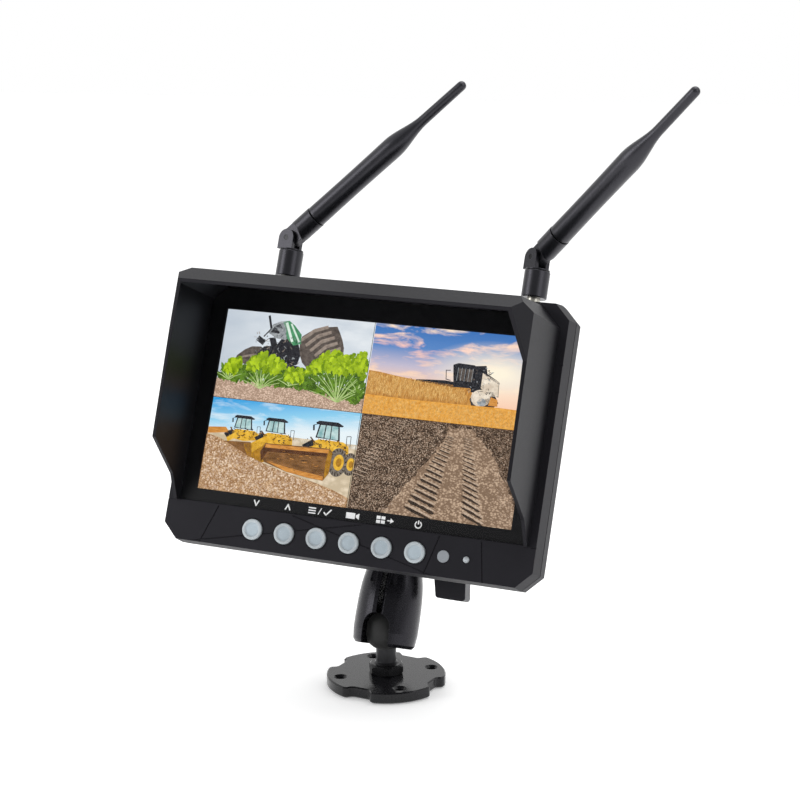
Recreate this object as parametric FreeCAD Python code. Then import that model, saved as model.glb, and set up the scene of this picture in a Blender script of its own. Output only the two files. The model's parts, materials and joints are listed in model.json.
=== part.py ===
"""Wireless reversing monitor with sun hood, twin antennas and a double-ball mount.

Units are millimetres, +Z is up and the screen faces -Y.
Three local frames are used and every sub-part is built in the one that suits it:
  post frame    - origin under a mounting plate, +Z along the ball stud
  arm frame     - origin at the lower ball centre, +Z along the clamping arm
  monitor frame - origin at the centre of the picture, +X right, +Y back, +Z up
"""
import math
import os

import FreeCAD
import Part

# ---------------------------------------------------------------- driving sizes
# picture area of a 7 inch, 16:9 display
display_w = 154.1
display_h = 85.9

# borders of the flat screen panel round the picture
panel_side = 7.3
panel_top = 10.0
panel_bottom = 5.8
panel_corner = 6.5

# plastic rim outside the screen panel
rim_side = 5.5
rim_top = 5.6
rim_bottom = 18.9
rim_corner = 7.1

# depths behind (+) and in front of (-) the picture
bezel_front = -3.2
bezel_band = 8.7
seam_gap = 0.8
rear_band = 6.7
rear_taper = 7.0
housing_depth = 37.2
side_draft = 1.0
wall = 2.2

# back body set in from the band outline
back_inset_side = 9.0
back_inset_top = 3.2
back_inset_bottom = 6.2

# sun hood
hood_wall = 1.6
hood_reach = 52.4
hood_side_reach = 40.2
hood_lip_run = 11.4
hood_lip_drop = 7.4
hood_top_slope = 0.105
hood_side_slope = 0.043
hood_corner = 9.8
hood_slope_in = 13.6

# push buttons, sensor and indicator lamp
button_count = 6
button_d = 9.6
button_pitch = 15.95
button_first_x = -44.7
button_proud = 1.2
button_travel = 0.8
sensor_d = 5.4
lamp_d = 2.9
sensor_x = 48.5
lamp_x = 59.2

# clearances
slide_gap = 0.3
fit_gap = 0.05
face_gap = 0.1

# double-ball mount
plate_r = 29.0
plate_t = 5.3
plate_pcd = 46.0
plate_hole_d = 4.4
plate_sink_d = 6.6
notch_half_deg = 15.0
notch_deep = 4.0
notch_round = 2.6
plate_turn = -7.5
ball_r = 11.0
core_r = 8.4
post_height = 22.5
neck_r = 4.9
shank_r = 6.0
flange_r = 9.6
flange_t = 2.2
nut_flats = 15.4
nut_t = 5.0

# clamping arm
arm_reach = 76.0
arm_socket_r = 15.7
arm_waist_r = 13.2
arm_past_ball = 8.6
arm_slot_w = 13.6
arm_split = 2.2
arm_lean = 20.7
arm_roll = 1.63
ball_below_picture = 17.8

# clamp screw and knob
clamp_screw_r = 3.0
clamp_head_flats = 10.0
knob_start = 16.0
knob_hub_r = 8.0
knob_hub_len = 8.0
wing_r = 20.0
wing_t = 8.0
wing_len = 17.0

# antennas
antenna_x = 62.6
antenna_y = 28.0
jack_r = 3.1
collar_r = 6.0
collar_h = 12.9
collar_z = 66.0
hinge_z = 85.0
hinge_r = 5.5
hinge_shift = 1.6
tongue_t = 4.0
cheek_r = 4.3
cheek_t = 2.0
foot_t = 0.6
sleeve_len = 17.0
whip_len = 115.0
whip_r = 5.3
whip_tip_r = 2.25
left_fold = 48.0
right_fold = 54.0
left_swivel = -12.0
right_swivel = -35.0

# ---------------------------------------------------------------- derived sizes
panel_half = display_w / 2 + panel_side
panel_z1 = display_h / 2 + panel_top
panel_z0 = -display_h / 2 - panel_bottom
rim_half = panel_half + rim_side
rim_z1 = panel_z1 + rim_top
rim_z0 = panel_z0 - rim_bottom
bezel_back = bezel_front + bezel_band
rear_start = bezel_back + seam_gap
rear_band_end = rear_start + rear_band
taper_end = rear_band_end + rear_taper
back_y = bezel_front + housing_depth
post_total = plate_t + post_height
ball_behind = back_y + 8.8 + post_total
boss_y = ball_behind - post_total
button_z = (panel_z0 + rim_z0) / 2 - 0.4
lens_front = bezel_front + 0.2
lens_back = lens_front + 1.2
tape_back = lens_back + 0.2
lip_back = -0.2
lcd_back = 2.8
tray_back = 6.2
board_y = 14.0
board_t = 1.6
key_board_y = 5.4
screw_x = rim_half - 16.0
screw_z1 = rim_z1 - 7.6
screw_z0 = rim_z0 + 12.0
boss_end = rear_band_end - 2.0

X_AXIS = FreeCAD.Vector(1, 0, 0)
Y_AXIS = FreeCAD.Vector(0, 1, 0)
Z_AXIS = FreeCAD.Vector(0, 0, 1)


# ---------------------------------------------------------------- small helpers
def vec(x, y, z):
    """Short name for a vector."""
    return FreeCAD.Vector(x, y, z)


def block(x0, x1, y0, y1, z0, z1):
    """Box between two corners."""
    return Part.makeBox(x1 - x0, y1 - y0, z1 - z0, vec(x0, y0, z0))


def rod_x(radius, x0, x1, y, z):
    """Cylinder along X."""
    return Part.makeCylinder(radius, x1 - x0, vec(x0, y, z), X_AXIS)


def rod_y(radius, y0, y1, x, z):
    """Cylinder along Y."""
    return Part.makeCylinder(radius, y1 - y0, vec(x, y0, z), Y_AXIS)


def rod_z(radius, z0, z1, x=0.0, y=0.0):
    """Cylinder along Z."""
    return Part.makeCylinder(radius, z1 - z0, vec(x, y, z0), Z_AXIS)


def hexagon(flats, height, base, direction, bore_r=0.0):
    """Hexagonal prism, with an optional bore, starting at base along direction."""
    corner = flats / math.sqrt(3)
    points = []
    for k in range(7):
        angle = math.radians(60 * k)
        points.append(vec(corner * math.cos(angle), corner * math.sin(angle), 0))
    prism = Part.Face(Part.makePolygon(points)).extrude(vec(0, 0, height))
    # the corners are turned down to a cone at both ends
    crown = Part.makeCone(flats / 2 + height * 1.2, flats / 2, height * 1.2, vec(0, 0, -height * 0.2))
    crown = crown.common(Part.makeCone(flats / 2, flats / 2 + height * 1.2, height * 1.2))
    prism = prism.common(crown)
    if bore_r > 0:
        prism = prism.cut(rod_z(bore_r, -1, height + 1))
    turn = FreeCAD.Rotation(Z_AXIS, direction)
    prism.Placement = FreeCAD.Placement(base, turn)
    return prism


def prism_xz(points, y0, y1):
    """Straight prism along Y from outline points in X and Z."""
    corners = [vec(x, y0, z) for x, z in points]
    corners.append(corners[0])
    return Part.Face(Part.makePolygon(corners)).extrude(vec(0, y1 - y0, 0))


def taper_xz(front, back, y0, y1):
    """Tapered prism along Y between two outlines with equal point counts."""
    wires = []
    for points, y in ((front, y0), (back, y1)):
        corners = [vec(x, y, z) for x, z in points]
        corners.append(corners[0])
        wires.append(Part.makePolygon(corners))
    return Part.makeLoft(wires, True, True)


def turned(profile):
    """Solid of revolution about Z from radius and height pairs."""
    points = [vec(r, 0, z) for r, z in profile]
    points.append(points[0])
    return Part.Face(Part.makePolygon(points)).revolve(vec(0, 0, 0), Z_AXIS, 360)


def fused(shapes):
    """One solid out of several touching ones."""
    whole = shapes[0]
    if len(shapes) > 1:
        whole = whole.fuse(shapes[1:])
    return whole.removeSplitter()


def trim(shape, point, normal):
    """Keep the part of shape that lies behind the plane through point."""
    size = 600.0
    slab = Part.makeBox(size, size, size, vec(-size / 2, -size / 2, 0))
    slab.Placement = FreeCAD.Placement(point, FreeCAD.Rotation(Z_AXIS, normal))
    return shape.cut(slab)


def plane_normal(a, b, c, outward):
    """Unit normal of the plane through three points, on the side of outward."""
    normal = (b - a).cross(c - a)
    normal.normalize()
    if normal.dot(outward) < 0:
        normal = normal * -1
    return normal


def octagon(half, z0, z1, low, high):
    """Outline with both lower corners cut by low and both upper ones by high."""
    return [(-half + low, z0), (half - low, z0), (half, z0 + low), (half, z1 - high),
            (half - high, z1), (-half + high, z1), (-half, z1 - high), (-half, z0 + low)]


def grown(points_of, amount):
    """Outline of the plastic rim grown outwards by amount."""
    corner = points_of + amount * 0.4
    return octagon(rim_half + amount, rim_z0 - amount, rim_z1 + amount, corner, corner)


# ---------------------------------------------------------------- placements
ARM_FRAME = FreeCAD.Placement(vec(0, 0, post_total), FreeCAD.Rotation(X_AXIS, -arm_lean))
ARM_FRAME = ARM_FRAME.multiply(FreeCAD.Placement(vec(0, 0, 0), FreeCAD.Rotation(Y_AXIS, arm_roll)))
PICTURE_AT = vec(0, -ball_behind, arm_reach + ball_below_picture)
MONITOR_FRAME = ARM_FRAME.multiply(FreeCAD.Placement(PICTURE_AT, FreeCAD.Rotation()))
UPPER_POST = FreeCAD.Placement(vec(0, boss_y, -ball_below_picture), FreeCAD.Rotation(X_AXIS, -90))
UPPER_POST = MONITOR_FRAME.multiply(UPPER_POST)
BASE_FRAME = FreeCAD.Placement()


def save(name, shape, frame):
    """Move a finished sub-part to its place and write it."""
    solids = []
    for solid in shape.Solids:
        moved = solid.copy()
        moved.Placement = frame.multiply(moved.Placement)
        solids.append(moved)
    out = solids[0] if len(solids) == 1 else Part.makeCompound(solids)
    out.exportStep("parts/" + name + ".step")


# ---------------------------------------------------------------- ball mount
def mounting_plate(turn):
    """Round plate with four countersunk holes, four rounded edge notches and a stud pocket."""
    plate = rod_z(plate_r, 0, plate_t)
    mouth = plate_r * math.sin(math.radians(notch_half_deg)) + 1.4
    floor = mouth - notch_deep * 1.1
    for k in range(4):
        angle = turn + 90 * k
        # notch between two holes
        corners = [vec(plate_r - notch_deep, -floor, -1), vec(plate_r + 2, -mouth, -1),
                   vec(plate_r + 2, mouth, -1), vec(plate_r - notch_deep, floor, -1)]
        corners.append(corners[0])
        bite = Part.Face(Part.makePolygon(corners)).extrude(vec(0, 0, plate_t + 2))
        bite.rotate(vec(0, 0, 0), Z_AXIS, angle)
        plate = plate.cut(bite)
    upright = [e for e in plate.Edges if abs(e.BoundBox.ZLength - plate_t) < 0.01]
    upright = [e for e in upright if e.BoundBox.XLength + e.BoundBox.YLength < 0.01]
    plate = plate.makeFillet(notch_round, upright)
    level = [e for e in plate.Edges if e.BoundBox.ZLength < 0.01]
    plate = plate.makeChamfer(0.6, level)
    for k in range(4):
        angle = turn + 90 * k
        # screw hole
        hole = rod_z(plate_hole_d / 2, -1, plate_t + 1, plate_pcd / 2, 0)
        sink_t = (plate_sink_d - plate_hole_d) / 2
        sink = Part.makeCone(plate_hole_d / 2, plate_sink_d / 2, sink_t, vec(plate_pcd / 2, 0, plate_t - sink_t))
        hole = hole.fuse(sink)
        hole.rotate(vec(0, 0, 0), Z_AXIS, angle + 45)
        plate = plate.cut(hole)
    plate = plate.cut(rod_z(flange_r + slide_gap, -1, flange_t + 0.3 + face_gap))
    plate = plate.cut(rod_z(shank_r + fit_gap, -1, plate_t + 1))
    return plate


def ball_stud():
    """Steel stud: pocketed flange, shank, neck and ball core in one turned piece."""
    z0 = 0.3
    z1 = z0 + flange_t
    shank_top = plate_t + face_gap + nut_t
    profile = [(0, z0), (flange_r, z0), (flange_r, z1), (shank_r, z1), (shank_r, shank_top),
               (neck_r, shank_top + 1.0), (neck_r, post_total), (0, post_total)]
    return fused([turned(profile), Part.makeSphere(core_r, vec(0, 0, post_total))])


def lock_nut():
    """Hexagonal nut that locks the stud against the plate."""
    low = plate_t + face_gap
    high = low + nut_t
    nut = hexagon(nut_flats, nut_t, vec(0, 0, low), Z_AXIS, shank_r + 0.01)
    corner = nut_flats / math.sqrt(3)
    dome = [(0, low), (corner, low), (corner, high - 1.4), (nut_flats / 2 - 0.3, high), (0, high)]
    return nut.common(turned(dome))


def ball_cover():
    """Moulded rubber shell over the steel core, open round the neck."""
    centre = vec(0, 0, post_total)
    shell = Part.makeSphere(ball_r, centre)
    shell = shell.cut(Part.makeSphere(core_r + fit_gap, centre))
    mouth = Part.makeCone(neck_r + 2.4, neck_r + 0.6, ball_r + 1, vec(0, 0, post_total - ball_r - 1))
    return shell.cut(mouth)


def arm_body():
    """Turned body of the whole arm before it is split."""
    mid = arm_reach / 2
    stations = [(-arm_past_ball, arm_socket_r - 1.9), (-arm_past_ball + 1.6, arm_socket_r - 0.6),
                (-2.0, arm_socket_r), (8.0, arm_socket_r), (mid - 14.0, arm_waist_r + 1.2),
                (mid - 7.0, arm_waist_r), (mid, arm_waist_r)]
    mirrored = [(arm_reach - z, r) for z, r in reversed(stations[:-1])]
    points = [vec(r, 0, z) for z, r in stations + mirrored]
    curve = Part.BSplineCurve()
    curve.interpolate(points[2:-2])
    start = [vec(0, 0, points[0].z), points[0], points[1], points[2]]
    end = [points[-3], points[-2], points[-1], vec(0, 0, points[-1].z)]
    edges = Part.makePolygon(start).Edges + [curve.toShape()] + Part.makePolygon(end).Edges
    edges.append(Part.makeLine(end[-1], start[0]))
    face = Part.Face(Part.Wire(edges))
    return face.revolve(vec(0, 0, 0), Z_AXIS, 360)


def arm_half(side):
    """One half of the arm; side is +1 for the knob side and -1 for the screw-head side."""
    mid = arm_reach / 2
    body = arm_body()
    body = body.fuse(rod_x(9.4, -knob_start + 1.4, knob_start - 1.4, 0, mid))
    split = arm_split / 2
    keep = block(split, 40, -40, 40, -40, arm_reach + 40)
    if side < 0:
        keep = block(-40, -split, -40, 40, -40, arm_reach + 40)
    body = body.common(keep)
    # bevel along both long edges of the split
    seam = [e for e in body.Edges if abs(e.BoundBox.XMin - side * split) < 0.01 and e.BoundBox.XLength < 0.01]
    seam = [e for e in seam if e.BoundBox.ZLength > 12 and abs(e.CenterOfMass.y) > 9]
    body = body.makeChamfer(1.5, seam)
    slot = arm_slot_w / 2
    for end, way in ((0.0, -1), (arm_reach, 1)):
        body = body.cut(Part.makeSphere(ball_r + fit_gap, vec(0, 0, end)))
        body = body.cut(rod_y(slot, -40, 40, 0, end))
        low = min(end, end + way * 40)
        body = body.cut(block(-slot, slot, -40, 40, low, low + 40))
    # side grooves save material and stiffen the shell like a beam
    for front in (-1, 1):
        rib_y = front * (arm_waist_r + 0.6)
        groove = block(3.6, 6.6, rib_y - 1.4, rib_y + 1.4, mid - 17, mid + 17)
        if side < 0:
            groove = block(-6.6, -3.6, rib_y - 1.4, rib_y + 1.4, mid - 17, mid + 17)
        body = body.cut(groove)
    body = body.cut(rod_x(clamp_screw_r + 0.3, -40, 40, 0, mid))
    # pocket for the spring between the halves
    body = body.cut(rod_x(6.4, -6.2, 6.2, 0, mid))
    if side < 0:
        pocket = hexagon(clamp_head_flats + 0.2, 6, vec(-knob_start - 2, 0, mid), X_AXIS)
        body = body.cut(pocket)
    return body


def clamp_bolt():
    """Hexagon screw through both halves."""
    mid = arm_reach / 2
    head = hexagon(clamp_head_flats, 3.6, vec(-knob_start + 0.4, 0, mid), X_AXIS)
    tip = knob_start + knob_hub_len + wing_len - 8
    return fused([head, rod_x(clamp_screw_r, -knob_start + 3.9, tip, 0, mid)])


def clamp_spring():
    """Open-coil spring that spreads the halves."""
    wire_r = 0.55
    coil_r = 4.9
    length = 2 * (6.2 - wire_r) - 0.2
    helix = Part.makeHelix(length / 5, length, coil_r)
    ring = Part.Wire([Part.makeCircle(wire_r, vec(coil_r, 0, 0), Y_AXIS)])
    coil = Part.Wire(helix.Edges).makePipeShell([ring], True, True)
    turn = FreeCAD.Rotation(Z_AXIS, X_AXIS)
    coil.Placement = FreeCAD.Placement(vec(-length / 2, 0, arm_reach / 2), turn)
    return coil


def knob_washer():
    """Flat washer under the knob."""
    mid = arm_reach / 2
    start = knob_start - 1.4
    ring = rod_x(7.0, start, start + 1.2, 0, mid)
    return ring.cut(rod_x(clamp_screw_r + 0.2, start - 1, start + 3, 0, mid))


def clamp_knob():
    """Two-winged hand knob."""
    mid = arm_reach / 2
    hub_end = knob_start + knob_hub_len
    wing_end = hub_end + wing_len - 2
    hub = Part.makeCone(knob_hub_r, knob_hub_r + 1.0, knob_hub_len, vec(knob_start, 0, mid), X_AXIS)
    cap = rod_x(knob_hub_r + 1.0, hub_end, wing_end - 3, 0, mid)
    half = wing_t / 2
    points = [vec(hub_end - 3, -half, mid - knob_hub_r + 1), vec(hub_end, -half, mid - wing_r),
              vec(wing_end, -half, mid - wing_r), vec(wing_end - 2.5, -half, mid),
              vec(wing_end, -half, mid + wing_r), vec(hub_end, -half, mid + wing_r),
              vec(hub_end - 3, -half, mid + knob_hub_r - 1)]
    points.append(points[0])
    wings = Part.Face(Part.makePolygon(points)).extrude(vec(0, wing_t, 0))
    long_edges = [e for e in wings.Edges if abs(e.Length - wing_t) < 0.01]
    wings = wings.makeFillet(1.6, long_edges)
    knob = fused([hub, cap, wings])
    return knob.cut(rod_x(5.0 + 0.01, knob_start - 1, hub_end + wing_len - 7, 0, mid))


def knob_insert():
    """Threaded metal sleeve moulded into the knob."""
    mid = arm_reach / 2
    end = knob_start + knob_hub_len + wing_len - 8
    sleeve = rod_x(5.0, knob_start + 0.2, end, 0, mid)
    return sleeve.cut(rod_x(clamp_screw_r + fit_gap, knob_start - 1, end + 1, 0, mid))


def plate_screws():
    """Four countersunk screws that hold the upper plate on the housing."""
    screws = []
    sink_t = (plate_sink_d - plate_hole_d) / 2
    for k in range(4):
        shank = rod_z(1.9, -6.0, plate_t - sink_t, plate_pcd / 2, 0)
        head_r = plate_sink_d / 2 - 0.15
        head = Part.makeCone(1.9, head_r, sink_t, vec(plate_pcd / 2, 0, plate_t - sink_t))
        drive = block(plate_pcd / 2 - 2, plate_pcd / 2 + 2, -0.4, 0.4, plate_t - 0.5, plate_t + 1)
        screw = fused([shank, head]).cut(drive)
        screw.rotate(vec(0, 0, 0), Z_AXIS, 45 + 90 * k)
        screws.append(screw)
    return Part.makeCompound(screws)


# ---------------------------------------------------------------- monitor shell
def panel_outline(extra):
    """Outline of the flat screen panel grown by extra."""
    half = panel_half + extra
    z1 = panel_z1 + extra
    z0 = panel_z0 - extra
    cut = panel_corner
    return [(-half, z0), (half, z0), (half, z1 - cut), (half - cut, z1), (-half + cut, z1), (-half, z1 - cut)]


def button_x(index):
    """X of one push button."""
    return button_first_x + button_pitch * index


def hood_lugs(extra):
    """Locating lugs under the hood feet, or their pockets when extra is above zero."""
    lugs = []
    for side in (-1, 1):
        for z in (-display_h * 0.3, display_h * 0.2):
            x = side * (panel_half + 1.6)
            lugs.append(block(x - 0.6 - extra, x + 0.6 + extra, bezel_front - 0.2, bezel_front + 1.2 + extra,
                              z - 4 - extra, z + 4 + extra))
    return lugs


def front_bezel():
    """Front frame with the screen recess, button holes and styling grooves."""
    body = taper_xz(grown(rim_corner, 0), grown(rim_corner, side_draft), bezel_front, bezel_back)
    cavity = prism_xz(grown(rim_corner, side_draft - wall), tray_back - 4.6, bezel_back + 1)
    body = body.cut(cavity)
    body = body.cut(prism_xz(panel_outline(0.3), bezel_front - 1, tape_back))
    half = display_w / 2 + 1.0
    top = display_h / 2 + 1.0
    body = body.cut(block(-half, half, -5, bezel_back + 1, -top, top))
    # room behind the lip for the display module
    body = body.cut(prism_xz(panel_outline(-0.8), lip_back, bezel_back + 1))
    for index in range(button_count):
        body = body.cut(rod_y(button_d / 2 + slide_gap, -9, 9, button_x(index), button_z))
    body = body.cut(rod_y(sensor_d / 2 + 0.02, -9, 9, sensor_x, button_z))
    body = body.cut(rod_y(lamp_d / 2 + 0.02, -9, 9, lamp_x, button_z))
    # shallow styling grooves: x and z of both ends
    low = rim_z0
    high = panel_z0 - 1.0
    left = -panel_half
    lines = [(left + 9, low, 8, high), (-26, high, 44.5, low), (45.5, high, 40.5, low), (65.0, high, 68, low),
             (left + 21, high, left + 14, low)]
    for x0, z0, x1, z1 in lines:
        body = body.cut(groove(x0, z0, x1, z1))
    for z in (display_h * 0.36, display_h * 0.22, -panel_z1 * 0.94):
        for side in (-1, 1):
            body = body.cut(groove(side * (panel_half + 3.4), z, side * (rim_half + 1), z + 0.6))
    for pocket in hood_lugs(0.1):
        body = body.cut(pocket)
    # screw bosses behind the frame
    bosses = []
    for x in (-screw_x, screw_x):
        for z in (screw_z0, screw_z1):
            boss = rod_y(3.2, bezel_front + 2.4, boss_end, x, z)
            bosses.append(boss.cut(rod_y(1.2, boss_end - 10, boss_end + 1, x, z)))
    return fused([body] + bosses)


def groove(x0, z0, x1, z1):
    """Cutter for a shallow groove between two points on the front face."""
    length = math.hypot(x1 - x0, z1 - z0)
    cutter = block(0, length, bezel_front - 1, bezel_front + 0.35, -0.25, 0.25)
    angle = math.degrees(math.atan2(z1 - z0, x1 - x0))
    cutter.rotate(vec(0, 0, 0), Y_AXIS, -angle)
    cutter.translate(vec(x0, 0, z0))
    return cutter


def back_outline(extra):
    """Outline of the set-in back body grown by extra."""
    half = rim_half + side_draft - back_inset_side + extra
    z1 = rim_z1 + side_draft - back_inset_top + extra
    z0 = rim_z0 - side_draft + back_inset_bottom - extra
    return octagon(half, z0, z1, rim_corner, rim_corner)


def rear_body(extra):
    """Solid form of the rear housing grown by extra; negative for the cavity."""
    band = prism_xz(grown(rim_corner, side_draft + extra), rear_start, rear_band_end)
    taper = taper_xz(grown(rim_corner, side_draft + extra), back_outline(extra), rear_band_end, taper_end)
    body = prism_xz(back_outline(extra), taper_end, back_y + extra)
    return fused([band, taper, body])


def rear_housing():
    """Rear shell with mounting boss, screw tubes, vents and speaker grille."""
    body = rear_body(0).cut(rear_body(-wall))
    # tongue that centres the shell inside the front frame
    tongue = prism_xz(grown(rim_corner, side_draft - wall - 0.2), bezel_back - 2.0, rear_start + 1.0)
    # the tongue joins the shell through a short land
    land = prism_xz(grown(rim_corner, side_draft - 0.6), rear_start, rear_start + 1.0)
    inner = prism_xz(grown(rim_corner, side_draft - 2 * wall), bezel_back - 3, rear_start + 2)
    parts = [body, tongue.fuse(land).cut(inner)]
    parts.append(rod_y(plate_r + 1.5, back_y - wall, boss_y, 0, -ball_below_picture))
    for x in (-screw_x, screw_x):
        for z in (screw_z0, screw_z1):
            parts.append(rod_y(4.6, boss_end + face_gap, back_y - 0.5, x, z))
    for x, z in board_posts():
        parts.append(rod_y(3.0, board_y + board_t, back_y - 0.5, x, z))
    body = fused(parts)
    for x in (-screw_x, screw_x):
        for z in (screw_z0, screw_z1):
            body = body.cut(rod_y(1.7, boss_end - 1, back_y + 1, x, z))
            body = body.cut(rod_y(3.2, boss_end + 3.0, back_y + 1, x, z))
    for x, z in board_posts():
        body = body.cut(rod_y(1.0, board_y, board_y + 9, x, z))
    # blind holes for the plate screws and a relief for the stud flange
    for k in range(4):
        angle = math.radians(45 + 90 * k)
        x = plate_pcd / 2 * math.sin(angle)
        z = plate_pcd / 2 * math.cos(angle) - ball_below_picture
        body = body.cut(rod_y(1.9, boss_y - 8, boss_y + 1, x, z))
    # vent slots high on the back and speaker slots on the right
    for k in range(9):
        x = (k - 4) * 9.0
        z = rim_z1 - 17
        body = body.cut(block(x - 1.2, x + 1.2, back_y - 5, back_y + 1, z - 6, z + 4))
    for k in range(5):
        x = speaker_x() + (k - 2) * 4.0
        body = body.cut(block(x - 1, x + 1, back_y - 5, back_y + 1, speaker_z() - 8, speaker_z() + 8))
    body = body.cut(rod_y(6.05, back_y - 6, back_y + 1, inlet_x(), speaker_z()))
    for side in (-1, 1):
        body = body.cut(rod_z(jack_r + fit_gap, rim_z1 - 12, rim_z1 + 4, side * antenna_x, antenna_y))
    return body


def speaker_x():
    """X of the speaker."""
    return panel_half - 36.0


def speaker_z():
    """Height of the speaker and the power inlet."""
    return -display_h * 0.36


def inlet_x():
    """X of the power inlet."""
    return -panel_half + 33.0


def board_posts():
    """Places of the four circuit board posts."""
    return [(x, z) for x in (-62, 62) for z in (-display_h * 0.5 + 4, display_h * 0.5 - 12)]


def sun_hood():
    """Shade with sloping top, chamfered upper corners and cut-back side walls."""
    foot = panel_half + 1.9
    top = rim_z1 - 1.4
    reach = -hood_reach
    lip_y = reach + hood_lip_run
    lip_z = top + hood_top_slope * (lip_y - bezel_front)
    front_z = lip_z - hood_lip_drop
    side_y = -hood_side_reach
    side_top = display_h * 0.3
    side_low = -display_h * 0.29
    heel_y = bezel_front - hood_side_reach * 0.26
    heel_z = -display_h * 0.45
    tip_z = panel_z0 - 0.7
    # side view of the shade, from the lower tip round the front to the top
    profile = [(bezel_front, tip_z), (bezel_front - 1.6, tip_z), (heel_y, heel_z), (side_y + 1.6, side_low),
               (side_y, side_top), (reach, front_z), (lip_y, lip_z), (bezel_front, top)]
    outer = hood_form(profile, foot, top, 0.0)
    inner_profile = [(bezel_front + 1, tip_z - 40), (reach - 40, tip_z - 40), (reach - 40, front_z - 1.9 - 26),
                     (reach - 1, front_z - hood_wall * 1.25 - 0.65), (lip_y, lip_z - hood_wall * 1.1),
                     (bezel_front + 1, top - hood_wall * 1.1)]
    inner = hood_form(inner_profile, foot, top, hood_wall)
    shade = outer.cut(inner)
    return fused([shade] + hood_lugs(0))


def hood_form(profile, foot, top, inset):
    """Extrude a side profile and trim it with the side, corner and front facets."""
    points = [vec(-120, y, z) for y, z in profile]
    points.append(points[0])
    form = Part.Face(Part.makePolygon(points)).extrude(vec(240, 0, 0))
    corner_z = top - hood_corner
    front_half = foot - hood_side_slope * (hood_side_reach + bezel_front)
    for side in (-1, 1):
        foot_low = vec(side * foot, bezel_front, 0)
        foot_high = vec(side * foot, bezel_front, corner_z)
        crown = vec(side * (foot - hood_corner), bezel_front, top)
        apex = vec(side * front_half, -hood_side_reach, corner_z - 0.7)
        brow = vec(side * (foot - hood_corner + 1.6), -hood_reach, top - hood_slope_in)
        kink = vec(side * front_half, -hood_side_reach, display_h * 0.3)
        outward = vec(side, 0, 0)
        wall_normal = plane_normal(foot_low, foot_high, vec(side * front_half, -hood_side_reach, 0), outward)
        form = trim(form, foot_low - wall_normal * inset, wall_normal)
        corner_normal = plane_normal(foot_high, crown, apex, vec(side, 0, 1))
        form = trim(form, foot_high - corner_normal * inset, corner_normal)
        facet_normal = plane_normal(brow, apex, kink, vec(side, -1, 0))
        form = trim(form, apex - facet_normal * inset, facet_normal)
    return form


# ---------------------------------------------------------------- screen and buttons
def screen_lens():
    """Clear cover over the display."""
    return prism_xz(panel_outline(0), lens_front, lens_back)


def lens_gasket():
    """Adhesive frame under the cover."""
    frame = prism_xz(panel_outline(-0.6), lens_back, tape_back)
    half = display_w / 2 + 2.0
    top = display_h / 2 + 2.0
    return frame.cut(block(-half, half, -9, 9, -top, top))


def lcd_panel():
    """Display glass."""
    half = display_w / 2 + 4.6
    return block(-half, half, 0, lcd_back, -display_h / 2 - 4.4, display_h / 2 + 4.0)


def backlight_tray():
    """Pressed steel tray behind the display glass."""
    half = display_w / 2 + 4.6
    z0 = -display_h / 2 - 4.4
    z1 = display_h / 2 + 4.0
    tray = block(-half, half, lcd_back, tray_back, z0, z1)
    tray = tray.cut(block(-half + 0.8, half - 0.8, tray_back - 2.2, tray_back + 1, z0 + 0.8, z1 - 0.8))
    for x in (-display_w * 0.25, display_w * 0.25):
        tray = tray.cut(rod_y(4.0, lcd_back + 0.6, tray_back, x, 0))
    return tray


def main_board():
    """Main circuit board on four posts."""
    board = block(-68, 68, board_y, board_y + board_t, -display_h * 0.5 - 1, display_h * 0.5 - 7)
    for x, z in board_posts():
        board = board.cut(rod_y(1.4, board_y - 1, board_y + 4, x, z))
    return board


def board_chips():
    """Chips, coils and capacitors on the back of the main board."""
    y0 = board_y + board_t
    parts = [block(-8, 8, y0, y0 + 1.6, -2, 14), block(-34, -20, y0, y0 + 1.4, 6, 16)]
    parts.append(block(-34, -22, y0, y0 + 3.8, -14, -2))
    for k in range(3):
        parts.append(rod_y(3.2, y0, y0 + 7, -48 + 9 * k, -22))
    return Part.makeCompound(parts)


def radio_shield():
    """Tinned can over the wireless receiver."""
    y0 = board_y + board_t
    can = block(22, 50, y0, y0 + 4.2, -4, 22)
    return can.cut(block(22.4, 49.6, y0 - 1, y0 + 3.8, -3.6, 21.6))


def board_screws():
    """Four pan-head screws of the main board."""
    screws = []
    for x, z in board_posts():
        head = rod_y(2.4, board_y - 1.6, board_y, x, z)
        shank = rod_y(1.0, board_y - 1, board_y + 7.5, x, z)
        slot = block(x - 1.6, x + 1.6, board_y - 2, board_y - 1.0, z - 0.3, z + 0.3)
        screws.append(fused([head, shank]).cut(slot))
    return Part.makeCompound(screws)


def button_board():
    """Narrow circuit board behind the buttons."""
    return block(button_x(0) - 8, lamp_x + 5, key_board_y, key_board_y + 1.2, button_z - 4.2, button_z + 4.2)


def key_switches():
    """Tactile switches and the lamp and sensor chips on the button board."""
    parts = []
    for index in range(button_count):
        x = button_x(index)
        body = block(x - 3, x + 3, key_board_y - 2.4, key_board_y, button_z - 3, button_z + 3)
        parts.append(body)
    parts.append(block(sensor_x - 2, sensor_x + 2, key_board_y - 2, key_board_y, button_z - 2, button_z + 2))
    parts.append(block(lamp_x - 1, lamp_x + 1, key_board_y - 1.4, key_board_y, button_z - 1, button_z + 1))
    return Part.makeCompound(parts)


def push_button(index):
    """Button with a raised ring, a dished centre and a retaining collar."""
    x = button_x(index)
    front = bezel_front - button_proud
    stem_end = key_board_y - 2.4 - button_travel - 0.1
    body = rod_y(button_d / 2, front, stem_end, x, button_z)
    edge = [e for e in body.Edges if abs(e.CenterOfMass.y - front) < 0.01]
    body = body.makeFillet(0.6, edge)
    dish = rod_y(button_d / 2 - 1.5, front - 1, front + 0.5, x, button_z)
    return body.cut(dish)


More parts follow.
